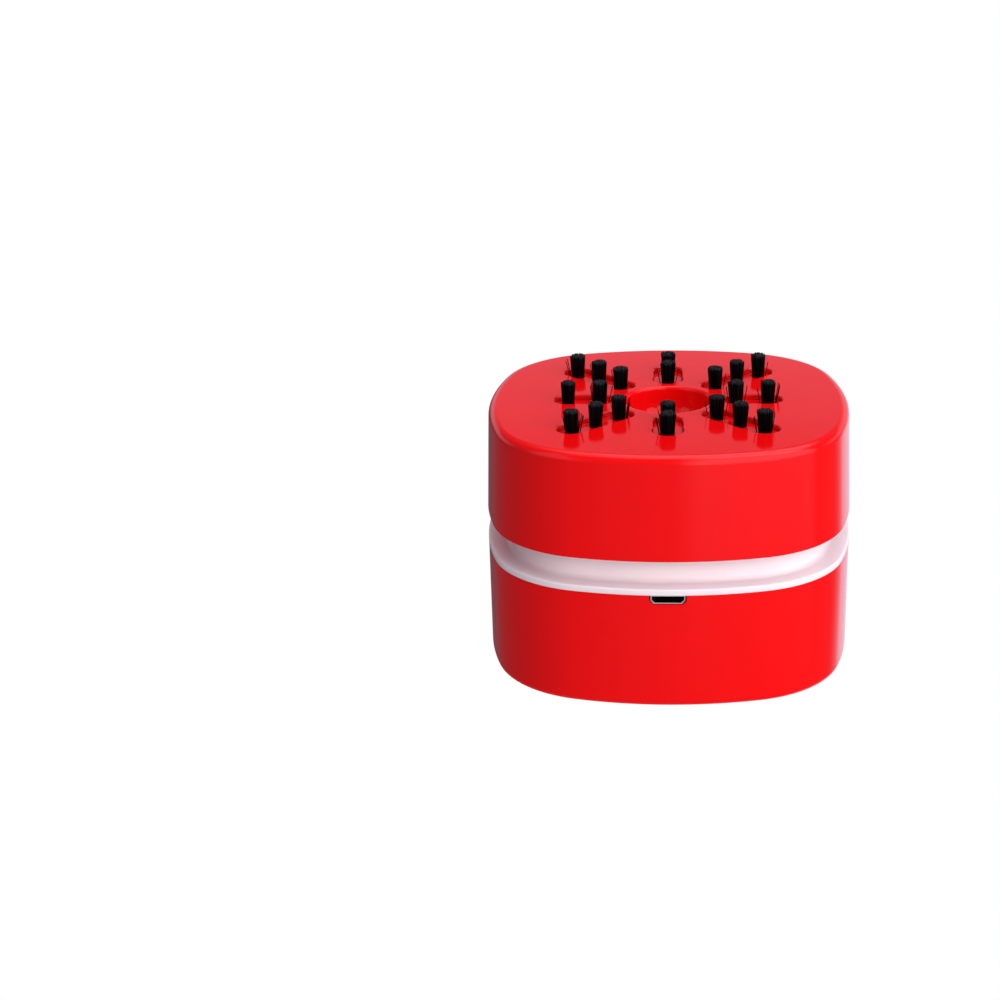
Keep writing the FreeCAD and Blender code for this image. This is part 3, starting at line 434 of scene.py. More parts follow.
def fused(tree, shape, other):
    """Two shapes grown together."""
    union = add_node(tree, "GeometryNodeMeshBoolean", {
        "Mesh 2": shape}, operation="UNION", solver="EXACT")
    tree.links.new(other, union.inputs["Mesh 2"])
    return union.outputs[0]


def island_tree():
    """Adds the islands under the plate, a fitting gap narrower than the slots."""
    tree, sizes = start_tree("slot islands", {
        **SLOT_SIZES, "Gap": 0.0001, "Island Face": 0.0059, "Bite": 0.0076})
    radius = calc(tree, "SUBTRACT", sizes["Slot Radius"], sizes["Gap"])
    post = add_node(tree, "GeometryNodeMeshCone", {
        "Vertices": 48, "Radius Bottom": radius, "Radius Top": radius,
        "Depth": calc(tree, "SUBTRACT", sizes["Bite"], sizes["Island Face"])}).outputs[0]
    islands = slot_bars(tree, sizes, post, sizes["Island Face"])
    end_tree(tree, fused(tree, sizes["Geometry"], islands), sizes["Material"])
    return tree


PLATE_RADIUS, PLATE_HOLE, PLATE_UNDER, PLATE_TOP = 36.4, 11.5, 7.1, 9.1
brush_plate = turned("plate_moulding", [
    (0, PLATE_UNDER), (0, PLATE_TOP),
    (PLATE_HOLE - PLATE_RADIUS, PLATE_TOP), (PLATE_HOLE - PLATE_RADIUS, PLATE_UNDER),
], PLATE_RADIUS, steps=144, material=red_gloss)
run_tree(brush_plate, island_tree(), {"Material": red_gloss})
settle(brush_plate)
stand_for(brush_plate, "base", "red_plastic", "brush_plate")
paint(red_gloss, "inlet_duct")


# ---- bristle tufts ----------------------------------------------------------------------
# Twenty bundles of black nylon filament, each folded into its socket and trimmed level.
# The bundles flare a little, and a few filaments always stand off to the side.

def tuft_tree():
    """Filaments by number: each belongs to a tuft, has a place in its foot and leans outward."""
    tree, sizes = start_tree("bristle tufts", {
        "Inner Ring": 0.0158, "Middle Ring": 0.0232, "Outer Ring": 0.0307,
        "Filaments": 165, "Seed": 7, "Foot Radius": 0.00132, "Flare": 0.35, "Root": 0.0078,
        "Thickness": 0.0001, "Uneven Trim": 0.0003, "Dome": 0.00035, "Bow": 0.0002,
        "Strays": 0.022, "Stray Lean": 0.5, "Stray Foot": 1.2, "Stray Trim": 0.0005,
    })
    rings = {"Inner Ring": (8, 0), "Middle Ring": (8, 0), "Outer Ring": (4, math.pi / 4)}
    circles = []
    for ring, (count, turn) in rings.items():
        circle = add_node(tree, "GeometryNodeMeshCircle", {
            "Vertices": count, "Radius": sizes[ring]}).outputs[0]
        circles.append(add_node(tree, "GeometryNodeTransform", {
            "Geometry": circle, "Rotation": (0, 0, turn)}).outputs[0])
    middles = joined(tree, *circles)

    def chance(low, high, seed):
        value = add_node(tree, "FunctionNodeRandomValue", {
            2: low, 3: high, "Seed": calc(tree, "ADD", sizes["Seed"], seed)}, data_type="FLOAT")
        return value.outputs[1]

    index = add_node(tree, "GeometryNodeInputIndex").outputs[0]
    number = calc(tree, "DIVIDE", calc(tree, "ADD", index, 0.5), sizes["Filaments"])
    number = calc(tree, "FLOOR", number)
    position = add_node(tree, "GeometryNodeInputPosition").outputs[0]
    middle = add_node(tree, "GeometryNodeSampleIndex", {
        "Geometry": middles, "Value": position, "Index": number},
        data_type="FLOAT_VECTOR").outputs[0]
    stray = calc(tree, "LESS_THAN", chance(0.0, 1.0, 3), sizes["Strays"])
    heading = chance(0.0, 2 * math.pi, 1)
    reach = calc(tree, "SQRT", chance(0.0, 1.0, 2))
    reach = calc(tree, "MAXIMUM", reach, times(tree, stray, sizes["Stray Foot"]))
    out_x = times(tree, calc(tree, "COSINE", heading), reach)
    out_y = times(tree, calc(tree, "SINE", heading), reach)
    foot = add_node(tree, "ShaderNodeVectorMath", {
        0: place_at(tree, out_x, out_y), "Scale": sizes["Foot Radius"]},
        operation="SCALE").outputs[0]
    for move in (middle, place_at(tree, up=sizes["Root"])):
        foot = add_node(tree, "ShaderNodeVectorMath", {
            0: foot, 1: move}, operation="ADD").outputs[0]

    spread = times(tree, sizes["Foot Radius"], sizes["Flare"], chance(0.7, 1.3, 4))
    lean = times(tree, stray, sizes["Foot Radius"], sizes["Stray Lean"], chance(0.5, 1.0, 5))
    spread = calc(tree, "ADD", spread, lean)
    dome = times(tree, calc(tree, "POWER", reach, 6), sizes["Dome"])
    trim = calc(tree, "MULTIPLY_ADD", sizes["Uneven Trim"], chance(0.0, 1.0, 6), dome)
    short = times(tree, stray, sizes["Stray Trim"])
    trim = calc(tree, "MULTIPLY_ADD", short, chance(0.0, 1.0, 7), trim)
    down = calc(tree, "SUBTRACT", calc(tree, "ADD", trim, sizes["Thickness"]), sizes["Root"])
    run = place_at(tree, times(tree, out_x, spread), times(tree, out_y, spread), down)
    length = add_node(tree, "ShaderNodeVectorMath", {0: run}, operation="LENGTH").outputs[1]

    tufts_in_all = sum(count for count, turn in rings.values())
    points = add_node(tree, "GeometryNodePoints", {
        "Count": times(tree, sizes["Filaments"], tufts_in_all), "Position": foot}).outputs[0]
    aligned = add_node(tree, "FunctionNodeAlignRotationToVector", {"Vector": run}, axis="Z")
    spun = add_node(tree, "FunctionNodeAxisAngleToRotation", {
        "Axis": (0, 0, 1), "Angle": chance(0.0, 6.28, 8)})
    rotation = add_node(tree, "FunctionNodeRotateRotation", {
        "Rotation": aligned.outputs[0], "Rotate By": spun.outputs[0]},
        rotation_space="LOCAL").outputs[0]

    filament = add_node(tree, "GeometryNodeMeshCylinder", {
        "Vertices": 5, "Side Segments": 3, "Radius": sizes["Thickness"], "Depth": 1.0},
        fill_type="NGON")
    height = add_node(tree, "ShaderNodeSeparateXYZ", {0: position}).outputs[2]
    along = calc(tree, "ADD", height, 0.5)
    bow = times(tree, along, calc(tree, "SUBTRACT", 1, along), sizes["Bow"])
    bent = add_node(tree, "GeometryNodeSetPosition", {
        "Geometry": filament.outputs[0], "Offset": place_at(tree, bow, 0.0, 0.5)})
    placed = add_node(tree, "GeometryNodeInstanceOnPoints", {
        "Points": points, "Instance": bent.outputs[0], "Rotation": rotation,
        "Scale": place_at(tree, 1.0, 1.0, length)})
    shade = add_node(tree, "GeometryNodeStoreNamedAttribute", {
        "Geometry": placed.outputs[0], "Name": "shade", "Value": chance(0.0, 1.0, 9)},
        data_type="FLOAT", domain="INSTANCE")
    end_tree(tree, shade.outputs[0], sizes["Material"])
    return tree


def bristle_material():
    """Black nylon; each filament has its own depth of black, and the tips are painted greyer as a
    painted highlight.
    """
    material, nodes, surface = new_material("black bristle")
    surface.inputs["IOR"].default_value = 1.45
    surface.inputs["Specular IOR Level"].default_value = 0.08

    def between(share, first, second):
        return add_node(nodes, "ShaderNodeMix", {
            "Factor": share, 6: first, 7: second}, data_type="RGBA").outputs[2]

    own = add_node(nodes, "ShaderNodeAttribute", attribute_name="shade").outputs["Fac"]
    position = add_node(nodes, "ShaderNodeTexCoord").outputs["Object"]
    height = add_node(nodes, "ShaderNodeSeparateXYZ", {0: position}).outputs[2]
    # Greyer towards the tips: a painted highlight where the tops of the tufts catch the light.
    tip_highlight = add_node(nodes, "ShaderNodeMapRange", {
        "Value": height, "From Min": 0.0009, "From Max": 0.0002}).outputs[0]
    body = between(own, (0.0008, 0.0006, 0.0006, 1), (0.003, 0.0025, 0.0027, 1))
    cut = between(own, (0.008, 0.0075, 0.008, 1), (0.05, 0.047, 0.048, 1))
    nodes.links.new(between(tip_highlight, body, cut), surface.inputs["Base Color"])
    nodes.links.new(calc(nodes, "MULTIPLY_ADD", own, 0.2, 0.5), surface.inputs["Roughness"])
    return material


black_bristle = bristle_material()
tufts = new_piece("bristle_tufts")
run_tree(tufts, tuft_tree(), {"Material": black_bristle})
bake(tufts).shade_smooth()
stand_for(tufts, "base", "bristle", "inner_tufts", "middle_tufts", "outer_tufts")


# ---- plate screws -----------------------------------------------------------------------
# Zinc-plated pan head screws with a cross recess hold the brush plate to the tub's floor.
# Each has its own turn, as a row of screws never lines up.

def screw_tree():
    """Adds a ring of screws to what the piece already holds, heads up or heads down."""
    tree, sizes = start_tree("cross recess screws", {
        "Ring": 0.0332, "Count": 4, "Turn": 22.5, "Seat": 0.0091, "Length": 0.0036,
        "Heads Down": 0, "Head Radius": 0.0018, "Head Height": 0.0009, "Dome": -0.3,
        "Cross Width": 0.0004, "Shank Radius": 0.0009, "Seed": 3,
    })
    ring, thick, wide = sizes["Ring"], sizes["Head Height"], sizes["Cross Width"]
    position = add_node(tree, "GeometryNodeInputPosition").outputs[0]
    height = add_node(tree, "ShaderNodeSeparateXYZ", {0: position}).outputs[2]
    head = add_node(tree, "GeometryNodeMeshCylinder", {
        "Vertices": 40, "Side Segments": 6, "Radius": sizes["Head Radius"],
        "Depth": thick}).outputs[0]
    rise = calc(tree, "ADD", calc(tree, "DIVIDE", height, thick), 0.5)
    narrow = calc(tree, "MULTIPLY_ADD", calc(tree, "POWER", rise, 4), sizes["Dome"], 1)
    domed = add_node(tree, "ShaderNodeVectorMath", {
        0: position, 1: place_at(tree, narrow, narrow, 1.0)}, operation="MULTIPLY").outputs[0]
    head = add_node(tree, "GeometryNodeSetPosition", {
        "Geometry": head, "Position": domed,
        "Offset": place_at(tree, up=times(tree, thick, 0.5))}).outputs[0]
    long = times(tree, sizes["Head Radius"], 1.25)
    bars = []
    for size in ((long, wide), (wide, long)):
        bar = add_node(tree, "GeometryNodeMeshCube", {
            "Size": place_at(tree, *size, thick)}).outputs[0]
        bars.append(shifted(tree, bar, up=thick))
    recessed = cut_away(tree, head, joined(tree, *bars), crossing=True)
    shank = add_node(tree, "GeometryNodeMeshCylinder", {
        "Vertices": 24, "Radius": sizes["Shank Radius"], "Depth": sizes["Length"]}).outputs[0]
    sunk = shifted(tree, shank, up=times(tree, sizes["Length"], -0.5))

    index = add_node(tree, "GeometryNodeInputIndex").outputs[0]
    step = calc(tree, "DIVIDE", 2 * math.pi, sizes["Count"])
    angle = calc(tree, "MULTIPLY_ADD", index, step, calc(tree, "RADIANS", sizes["Turn"]))
    seat = place_at(
        tree, times(tree, ring, calc(tree, "COSINE", angle)),
        times(tree, ring, calc(tree, "SINE", angle)), sizes["Seat"])
    points = add_node(tree, "GeometryNodePoints", {
        "Count": sizes["Count"], "Position": seat}).outputs[0]
    own_turn = add_node(tree, "FunctionNodeRandomValue", {
        2: 0.0, 3: 1.57, "Seed": sizes["Seed"]}, data_type="FLOAT").outputs[1]
    flip = times(tree, sizes["Heads Down"], math.pi)
    placed = add_node(tree, "GeometryNodeInstanceOnPoints", {
        "Points": points, "Instance": joined(tree, recessed, sunk),
        "Rotation": place_at(tree, flip, 0.0, own_turn)}).outputs[0]
    end_tree(tree, joined(tree, sizes["Geometry"], placed), sizes["Material"])
    return tree


screw_steel = skinned(
    "zinc plated screw", (0.46, 0.46, 0.47), (0.56, 0.56, 0.56),
    {"Roughness": 0.32, "Unevenness": 0.15, "Ripple": 0.1, "Grain": 0.3}, Metallic=1.0)
screw_ring = screw_tree()


def screws(name, body, nodes, *rings):
    """One mesh with all the screws of a body, ring by ring."""
    piece = new_piece(name)
    for ring in rings:
        run_tree(piece, screw_ring, {**ring, "Material": screw_steel})
    settle(piece)
    stand_for(piece, body, "screw_steel", *nodes)


screws(
    "base_screws", "base", ["plate_screws"],
    {"Ring": 0.0332, "Turn": 22.5, "Seat": 0.0091, "Length": 0.0036})


# ---- motor unit -------------------------------------------------------------------------
# Matt black carrier plate with the fan housing on it, a soft gasket under its edge, and the
# filter below its intake: a black frame with four spokes over woven nylon.

black_plastic = skinned(
    "black plastic", (0.020, 0.020, 0.021), (0.026, 0.026, 0.027),
    {"Roughness": 0.45, "Unevenness": 0.12, "Ripple": 0.06, "Grain": 0.9, "Grain Size": 3200.0},
    IOR=1.5)
soft_rubber = skinned(
    "soft rubber", (0.030, 0.030, 0.030), (0.040, 0.040, 0.039),
    {"Roughness": 0.8, "Unevenness": 0.1, "Ripple": 0.1, "Grain": 0.6, "Grain Size": 2500.0},
    IOR=1.45)
filter_cloth = skinned(
    "filter nylon", (0.70, 0.70, 0.68), (0.78, 0.78, 0.77),
    {"Roughness": 0.55, "Unevenness": 0.1, "Ripple": 0.05, "Grain": 0.4}, IOR=1.5)
paint(black_plastic, "motor_carrier", "filter_frame", "fan_cover")
paint(soft_rubber, "seal_gasket")


def weave_tree():
    """Round cloth of threads that pass over and under each other."""
    tree, sizes = start_tree("filter weave", {
        "Radius": 0.0229, "Level": 0.0187, "Pitch": 0.001, "Threads": 45,
        "Thickness": 0.00013, "Wave": 0.00014,
    })
    pitch = sizes["Pitch"]
    steps = calc(tree, "SUBTRACT", sizes["Threads"], 1)
    bends = calc(tree, "MULTIPLY_ADD", steps, 3, 1)
    start = times(tree, steps, 0.5, pitch, -1)
    across = add_node(tree, "GeometryNodeMeshLine", {
        "Count": bends, "Start Location": place_at(tree, start),
        "Offset": place_at(tree, calc(tree, "DIVIDE", pitch, 3))}).outputs[0]
    position = add_node(tree, "GeometryNodeInputPosition").outputs[0]
    x = add_node(tree, "ShaderNodeSeparateXYZ", {0: position}).outputs[0]
    phase = times(tree, calc(tree, "DIVIDE", x, pitch), math.pi)
    rise = times(tree, calc(tree, "COSINE", phase), sizes["Wave"])
    thread = add_node(tree, "GeometryNodeSetPosition", {
        "Geometry": across, "Offset": place_at(tree, up=rise)}).outputs[0]
    stations = add_node(tree, "GeometryNodeMeshLine", {
        "Count": sizes["Threads"], "Start Location": place_at(tree, 0.0, start),
        "Offset": place_at(tree, 0.0, pitch)}).outputs[0]
    index = add_node(tree, "GeometryNodeInputIndex").outputs[0]
    odd = calc(tree, "FLOORED_MODULO", index, 2)
    sign = calc(tree, "MULTIPLY_ADD", odd, -2, 1)
    row = add_node(tree, "GeometryNodeInstanceOnPoints", {
        "Points": stations, "Instance": thread,
        "Scale": place_at(tree, 1.0, 1.0, sign)}).outputs[0]
    layers = [add_node(tree, "GeometryNodeTransform", {
        "Geometry": row, "Rotation": (0, 0, turn), "Scale": (1, 1, flip),
        "Translation": place_at(tree, up=sizes["Level"])}).outputs[0]
        for turn, flip in ((0, 1), (QUARTER_TURN, -1))]
    flat = add_node(tree, "ShaderNodeVectorMath", {
        0: position, 1: (1, 1, 0)}, operation="MULTIPLY").outputs[0]
    away = add_node(tree, "ShaderNodeVectorMath", {0: flat}, operation="LENGTH").outputs[1]
    beyond = add_node(tree, "FunctionNodeCompare", {
        "A": away, "B": sizes["Radius"]}, data_type="FLOAT", operation="GREATER_THAN").outputs[0]
    trimmed = add_node(tree, "GeometryNodeDeleteGeometry", {
        "Geometry": made_real(tree, joined(tree, *layers)), "Selection": beyond}).outputs[0]
    lines = add_node(tree, "GeometryNodeMeshToCurve", {"Mesh": trimmed}).outputs[0]
    section = add_node(tree, "GeometryNodeCurvePrimitiveCircle", {
        "Resolution": 5, "Radius": sizes["Thickness"]}).outputs[0]
    threads = add_node(tree, "GeometryNodeCurveToMesh", {
        "Curve": lines, "Profile Curve": section, "Fill Caps": True}).outputs[0]
    end_tree(tree, threads, sizes["Material"])
    return tree


cloth = new_piece("filter_weave")
run_tree(cloth, weave_tree(), {"Material": filter_cloth})
settle(cloth, sharp_angle=80)
stand_for(cloth, "motor_unit", "filter_cloth", "filter_mesh")


# ---- motor and fan ----------------------------------------------------------------------
# Small direct current motor in a zinc-plated can, screwed to the lid of the fan housing.
# Its ground shaft carries a white impeller with backward-curved blades.

motor_steel = skinned(
    "zinc plated can", (0.52, 0.52, 0.53), (0.60, 0.60, 0.60),
    {"Roughness": 0.3, "Unevenness": 0.12, "Ripple": 0.05, "Grain": 0.25}, Metallic=1.0)
shaft_steel = skinned(
    "ground shaft", (0.60, 0.60, 0.60), (0.66, 0.66, 0.66),
    {"Roughness": 0.18, "Unevenness": 0.06, "Ripple": 0.0, "Grain": 0.2}, Metallic=1.0)
white_plastic = skinned(
    "white plastic", (0.76, 0.76, 0.73), (0.82, 0.82, 0.80),
    {"Roughness": 0.4, "Unevenness": 0.1, "Ripple": 0.05, "Grain": 0.5, "Grain Size": 4000.0},
    IOR=1.5)
paint(motor_steel, "motor_can")
paint(shaft_steel, "rotor_shaft")
paint(white_plastic, "motor_cap", "impeller")
screws(
    "motor_unit_screws", "motor_unit", ["cover_screws", "motor_screws"],
    {"Ring": 0.0264, "Turn": 45.0, "Seat": 0.0318, "Length": 0.0061},
    {"Ring": 0.008, "Count": 2, "Turn": 0.0, "Seat": 0.0302, "Length": 0.0038, "Heads Down": 1})


# ---- upper shell ------------------------------------------------------------------------
# The housing that the hand presses: a deep red cap with a shallow recess for the top panel.
# Notches in its rim let in the charging plug and show the charge light. Inside, four bosses
# take the ring's screws and four posts carry the board.

SHELL_RIM = 36.8
SHELL_TOP = 64.0
CEILING = 60.7
SHELL_DRAFT = math.tan(math.radians(0.6))


def shell_wall(level):
    """How far the shell's drafted wall has come in from the outline."""
    return -(level - SHELL_RIM) * SHELL_DRAFT


def shell_profile():
    """The cap's section: rim, outer wall, rolled top edge, recess and inside."""
    fillet, ease, edge = 1.6, 0.15, 0.2
    wall, inset, seat = 2.2, 3.0, 62.5
    middle = shell_wall(SHELL_TOP - fillet) - fillet
    return [
        *arc_points(-ease, SHELL_RIM + ease, ease, -90, 0),
        *arc_points(middle, SHELL_TOP - fillet, fillet, 0, 90, 8),
        *arc_points(edge - inset, SHELL_TOP - edge, edge, 90, 180),
        (-inset, seat), (None, seat), (None, CEILING),
        (shell_wall(CEILING) - wall, CEILING), (-wall, SHELL_RIM),
    ]


def upright(tree, vertices, radius, out, low, high):
    """A cylinder standing off the axis, between two heights."""
    cylinder = add_node(tree, "GeometryNodeMeshCylinder", {
        "Vertices": vertices, "Radius": radius,
        "Depth": calc(tree, "SUBTRACT", high, low)}).outputs[0]
    middle = times(tree, calc(tree, "ADD", high, low), 0.5)
    return shifted(tree, cylinder, out, up=middle)


def boss_tree():
    """Adds four tubes under the ceiling, each with a blind pilot hole for a screw."""
    tree, sizes = start_tree("screw bosses", {
        "Ring": 0.0372, "Turn": 45.0, "Radius": 0.0026, "Hole": 0.00095,
        "Low": 0.0368, "High": 0.0611, "Bite": 0.0045, "Overshoot": 0.001,
    })
    ring, low = sizes["Ring"], sizes["Low"]
    boss = upright(tree, 40, sizes["Radius"], ring, low, sizes["High"])
    pilot = upright(
        tree, 40, sizes["Hole"], ring,
        calc(tree, "SUBTRACT", low, sizes["Overshoot"]), calc(tree, "ADD", low, sizes["Bite"]))
    bored = cut_away(tree, boss, pilot)
    around = four_round(tree, bored, calc(tree, "RADIANS", sizes["Turn"]))
    end_tree(tree, joined(tree, sizes["Geometry"], around), sizes["Material"])
    return tree


def cropped(wide, narrow, low, bend, top):
    """A rectangle with its two upper corners cut off, in millimetres across and up."""
    return [(-wide, low), (wide, low), (wide, bend), (narrow, top), (-narrow, top), (-wide, bend)]


def notch_points(ease, sunk):
    """Outline of a port notch, standing on the shell's rim."""
    wide, narrow, shoulder, top = 4.15, 3.35, SHELL_RIM + 1.3, SHELL_RIM + 2.2
    return cropped(wide - ease, narrow - ease, SHELL_RIM - sunk, shoulder, top - ease)


def prism(name, outline, start, end, material=None):
    """A straight bar along Y from an outline of (x, z) points."""
    points = [(x / 1000, y / 1000, z / 1000) for y in (start, end) for x, z in outline]
    count = len(outline)
    sides = [(i, count + i, count + (i + 1) % count, (i + 1) % count) for i in range(count)]
    ends = [tuple(range(count - 1, -1, -1)), tuple(range(count, 2 * count))]
    piece = new_piece(name, points, (), ends + sides)
    if material:
        piece.data.materials.append(material)
    return piece


def combine(piece, other, operation):
    """Cuts or adds another piece, which is then gone."""
    step = piece.modifiers.new(other.name, "BOOLEAN")
    step.object = other
    step.operation = operation
    step.solver = "EXACT"
    step.material_mode = "TRANSFER" if other.data.materials else "INDEX"
    bake(piece)
    bpy.data.objects.remove(other)


upper_shell = lathed("shell_moulding", shell_profile(), Material=red_gloss)
PAST_WALLS = 60
notch_cutter = prism("notch_cutter", notch_points(0, 1), -PAST_WALLS, PAST_WALLS)
combine(upper_shell, notch_cutter, "DIFFERENCE")
bosses = boss_tree()
run_tree(upper_shell, bosses, {"Material": red_gloss})
run_tree(upper_shell, bosses, {
    "Ring": 0.027, "Turn": 0.0, "Radius": 0.0022, "Low": 0.0402, "Bite": 0.0022,
    "Material": red_gloss})
settle(upper_shell)
stand_for(upper_shell, "upper_housing", "red_plastic", "upper_shell")


# ---- top panel --------------------------------------------------------------------------
# Polished black acrylic plate, glued into the recess with its edge just below the rim;
# pressing it drives the housing down.

black_gloss = skinned(
    "black gloss", (0.0075, 0.006, 0.0065), (0.010, 0.008, 0.0085),
    {"Roughness": 0.09, "Unevenness": 0.04, "Ripple": 0.01, "Grain": 0.05}, IOR=1.5)
PANEL_UNDER, PANEL_TOP, PANEL_INSET, PANEL_EDGE = 62.5, 63.8, -3.1, 0.25
top_panel = lathed("panel_plate", [
    (None, PANEL_UNDER), (PANEL_INSET, PANEL_UNDER),
    *arc_points(PANEL_INSET - PANEL_EDGE, PANEL_TOP - PANEL_EDGE, PANEL_EDGE, 0, 90, 4),
    (None, PANEL_TOP),
], Material=black_gloss)
settle(top_panel)
stand_for(top_panel, "upper_housing", "black_gloss", "top_panel")


# ---- light ring -------------------------------------------------------------------------
# Milky polycarbonate, in which light scatters. Its flange shows as a thin line under the
# shell, and its neck hangs into the tub; the gap round the neck is the air outlet. Four ears
# take the screws, and a small window fills the rear notch in front of the charge light.

def ear_tree():
    """Adds four round-ended ears inside the ring and bores each for its screw."""
    tree, sizes = start_tree("ring ears", {
        "Ring": 0.0372, "Reach": 0.0025, "Radius": 0.0036, "Hole": 0.00095,
        "Low": 0.0354, "High": 0.0368, "Overshoot": 0.0014,
    })
    ring, low, high, past = sizes["Ring"], sizes["Low"], sizes["High"], sizes["Overshoot"]
    ends = joined(tree, *[
        upright(tree, 48, sizes["Radius"], out, low, high)
        for out in (ring, calc(tree, "ADD", ring, sizes["Reach"]))])
    ear = add_node(tree, "GeometryNodeConvexHull", {"Geometry": ends}).outputs[0]
    drill = upright(
        tree, 24, sizes["Hole"], ring,
        calc(tree, "SUBTRACT", low, past), calc(tree, "ADD", high, past))
    ears, drills = [
        made_real(tree, four_round(tree, tool, QUARTER_TURN / 2)) for tool in (ear, drill)]
    shape = cut_away(tree, fused(tree, sizes["Geometry"], ears), drills)
    end_tree(tree, shape, sizes["Material"])
    return tree


# The ring itself is milky white; the pink tint in its colour is painted red light thrown onto it by
# the tub and shell.
milky_plastic = skinned(
    "milky plastic", (0.95, 0.79, 0.80), (0.965, 0.82, 0.83),
    {"Roughness": 0.34, "Unevenness": 0.08, "Ripple": 0.06, "Grain": 0.1}, IOR=1.46,
    Subsurface_Weight=0.5, Subsurface_Radius=(1.0, 0.7, 0.75), Subsurface_Scale=0.0015)
RING_UNDER, RING_EDGE = 35.4, 0.3
NECK, NECK_WALL, NECK_ROOT, NECK_END = -4.6, 1.6, 1.0, 27.2
WINDOW_FRONT, WINDOW_BACK = 40.2, 42.3
light_ring = lathed("ring_moulding", [
    (NECK - NECK_WALL, NECK_END), (NECK, NECK_END),
    *arc_points(NECK + NECK_ROOT, RING_UNDER - NECK_ROOT, NECK_ROOT, 180, 90, 6),
    *arc_points(-RING_EDGE, RING_UNDER + RING_EDGE, RING_EDGE, -90, 0, 4),
    (0, SHELL_RIM), (NECK - NECK_WALL, SHELL_RIM),
], Material=milky_plastic)
run_tree(light_ring, ear_tree(), {"Material": milky_plastic})
rear_window = prism("rear_window", notch_points(0.1, 0.5), WINDOW_FRONT, WINDOW_BACK)
combine(light_ring, rear_window, "UNION")
settle(light_ring)
stand_for(light_ring, "upper_housing", "milky_plastic", "light_ring")


# ---- charging board and battery ---------------------------------------------------------
# Green ring board on the shell's posts, with the charging port on its front tail and the
# charge light on the rear one. A flat foil cell is glued under the ceiling.

port_steel = skinned(
    "nickel plated port", (0.62, 0.56, 0.54), (0.70, 0.64, 0.62),
    {"Roughness": 0.4, "Unevenness": 0.1, "Ripple": 0.0, "Grain": 0.2}, Metallic=0.55)
# The bore's walls are the same plated steel; their near black is painted shade for the dark inside
# of the port.
port_bore_painted_shade = skinned(
    "port inside", (0.06, 0.06, 0.06), (0.09, 0.09, 0.09),
    {"Roughness": 0.3, "Unevenness": 0.1, "Ripple": 0.0, "Grain": 0.2}, Metallic=1.0)
board_green = skinned(
    "solder mask", (0.012, 0.13, 0.05), (0.03, 0.19, 0.08),
    {"Roughness": 0.3, "Unevenness": 0.1, "Ripple": 0.1, "Grain": 0.3}, IOR=1.5)
battery_foil = skinned(
    "battery foil", (0.55, 0.55, 0.56), (0.66, 0.66, 0.67),
    {"Roughness": 0.34, "Unevenness": 0.2, "Ripple": 0.9, "Grain": 0.4}, Metallic=1.0)
led_lens = skinned(
    "clear lens", (0.84, 0.84, 0.78), (0.90, 0.90, 0.85),
    {"Roughness": 0.12, "Unevenness": 0.04, "Ripple": 0.0, "Grain": 0.05}, Transmission_Weight=0.4)
paint(black_plastic, "usb_tongue")
paint(board_green, "circuit_board")
paint(battery_foil, "battery")
paint(led_lens, "charge_led")


def shrunk(outline, skin):
    """The same outline inside the sheet metal."""
    low, high = min(z for x, z in outline), max(z for x, z in outline)
    inward = {low: skin, high: -skin}
    return [(x - math.copysign(skin, x), z + inward.get(z, 0)) for x, z in outline]


PORT_LOW, PORT_SKIN, PORT_LAP = SHELL_RIM + 0.05, 0.25, 0.1
LIP_FRONT, PORT_STEP, PORT_END = -42.1, -39.8, -34.8
port_body = cropped(3.7, 2.9, PORT_LOW, 38.1, 39.2)
port_lip = cropped(3.85, 3.15, PORT_LOW, 38.0, 38.85)
body_bore, lip_bore = shrunk(port_body, PORT_SKIN), shrunk(port_lip, PORT_SKIN)
port_sleeve = prism("port_sleeve", port_body, PORT_STEP, PORT_END, port_steel)
lip_solid = prism("lip", port_lip, LIP_FRONT, PORT_STEP + PORT_SKIN, port_steel)
# The bores take the near-black material: painted shade inside the port.
body_cut = prism("inside", body_bore, PORT_STEP + PORT_LAP, PORT_END - PORT_SKIN, port_bore_painted_shade)
lip_cut = prism("mouth", lip_bore, LIP_FRONT - 1, PORT_STEP + 2 * PORT_LAP, port_bore_painted_shade)
combine(port_sleeve, lip_solid, "UNION")
combine(port_sleeve, body_cut, "DIFFERENCE")
combine(port_sleeve, lip_cut, "DIFFERENCE")
settle(port_sleeve)
stand_for(port_sleeve, "upper_housing", "port_steel", "usb_port")
screws(
    "upper_housing_screws", "upper_housing", ["ring_screws", "board_screws"],
    {"Ring": 0.0372, "Turn": 45.0, "Seat": 0.0354, "Length": 0.0059, "Heads Down": 1},
    {"Ring": 0.027, "Turn": 0.0, "Seat": 0.0392, "Length": 0.0032, "Heads Down": 1})


# ---- studio -----------------------------------------------------------------------------
# A pale table and large soft lamps. The camera is turned upside down and looks from the
# brush side, so the table is clear when seen from below.

def ramp(tree, value, start, end):
    """Rises smoothly from 0 to 1 as a value goes from one number to another."""
    return add_node(tree, "ShaderNodeMapRange", {
        "Value": value, "From Min": start, "From Max": end},
        interpolation_type="SMOOTHSTEP").outputs[0]


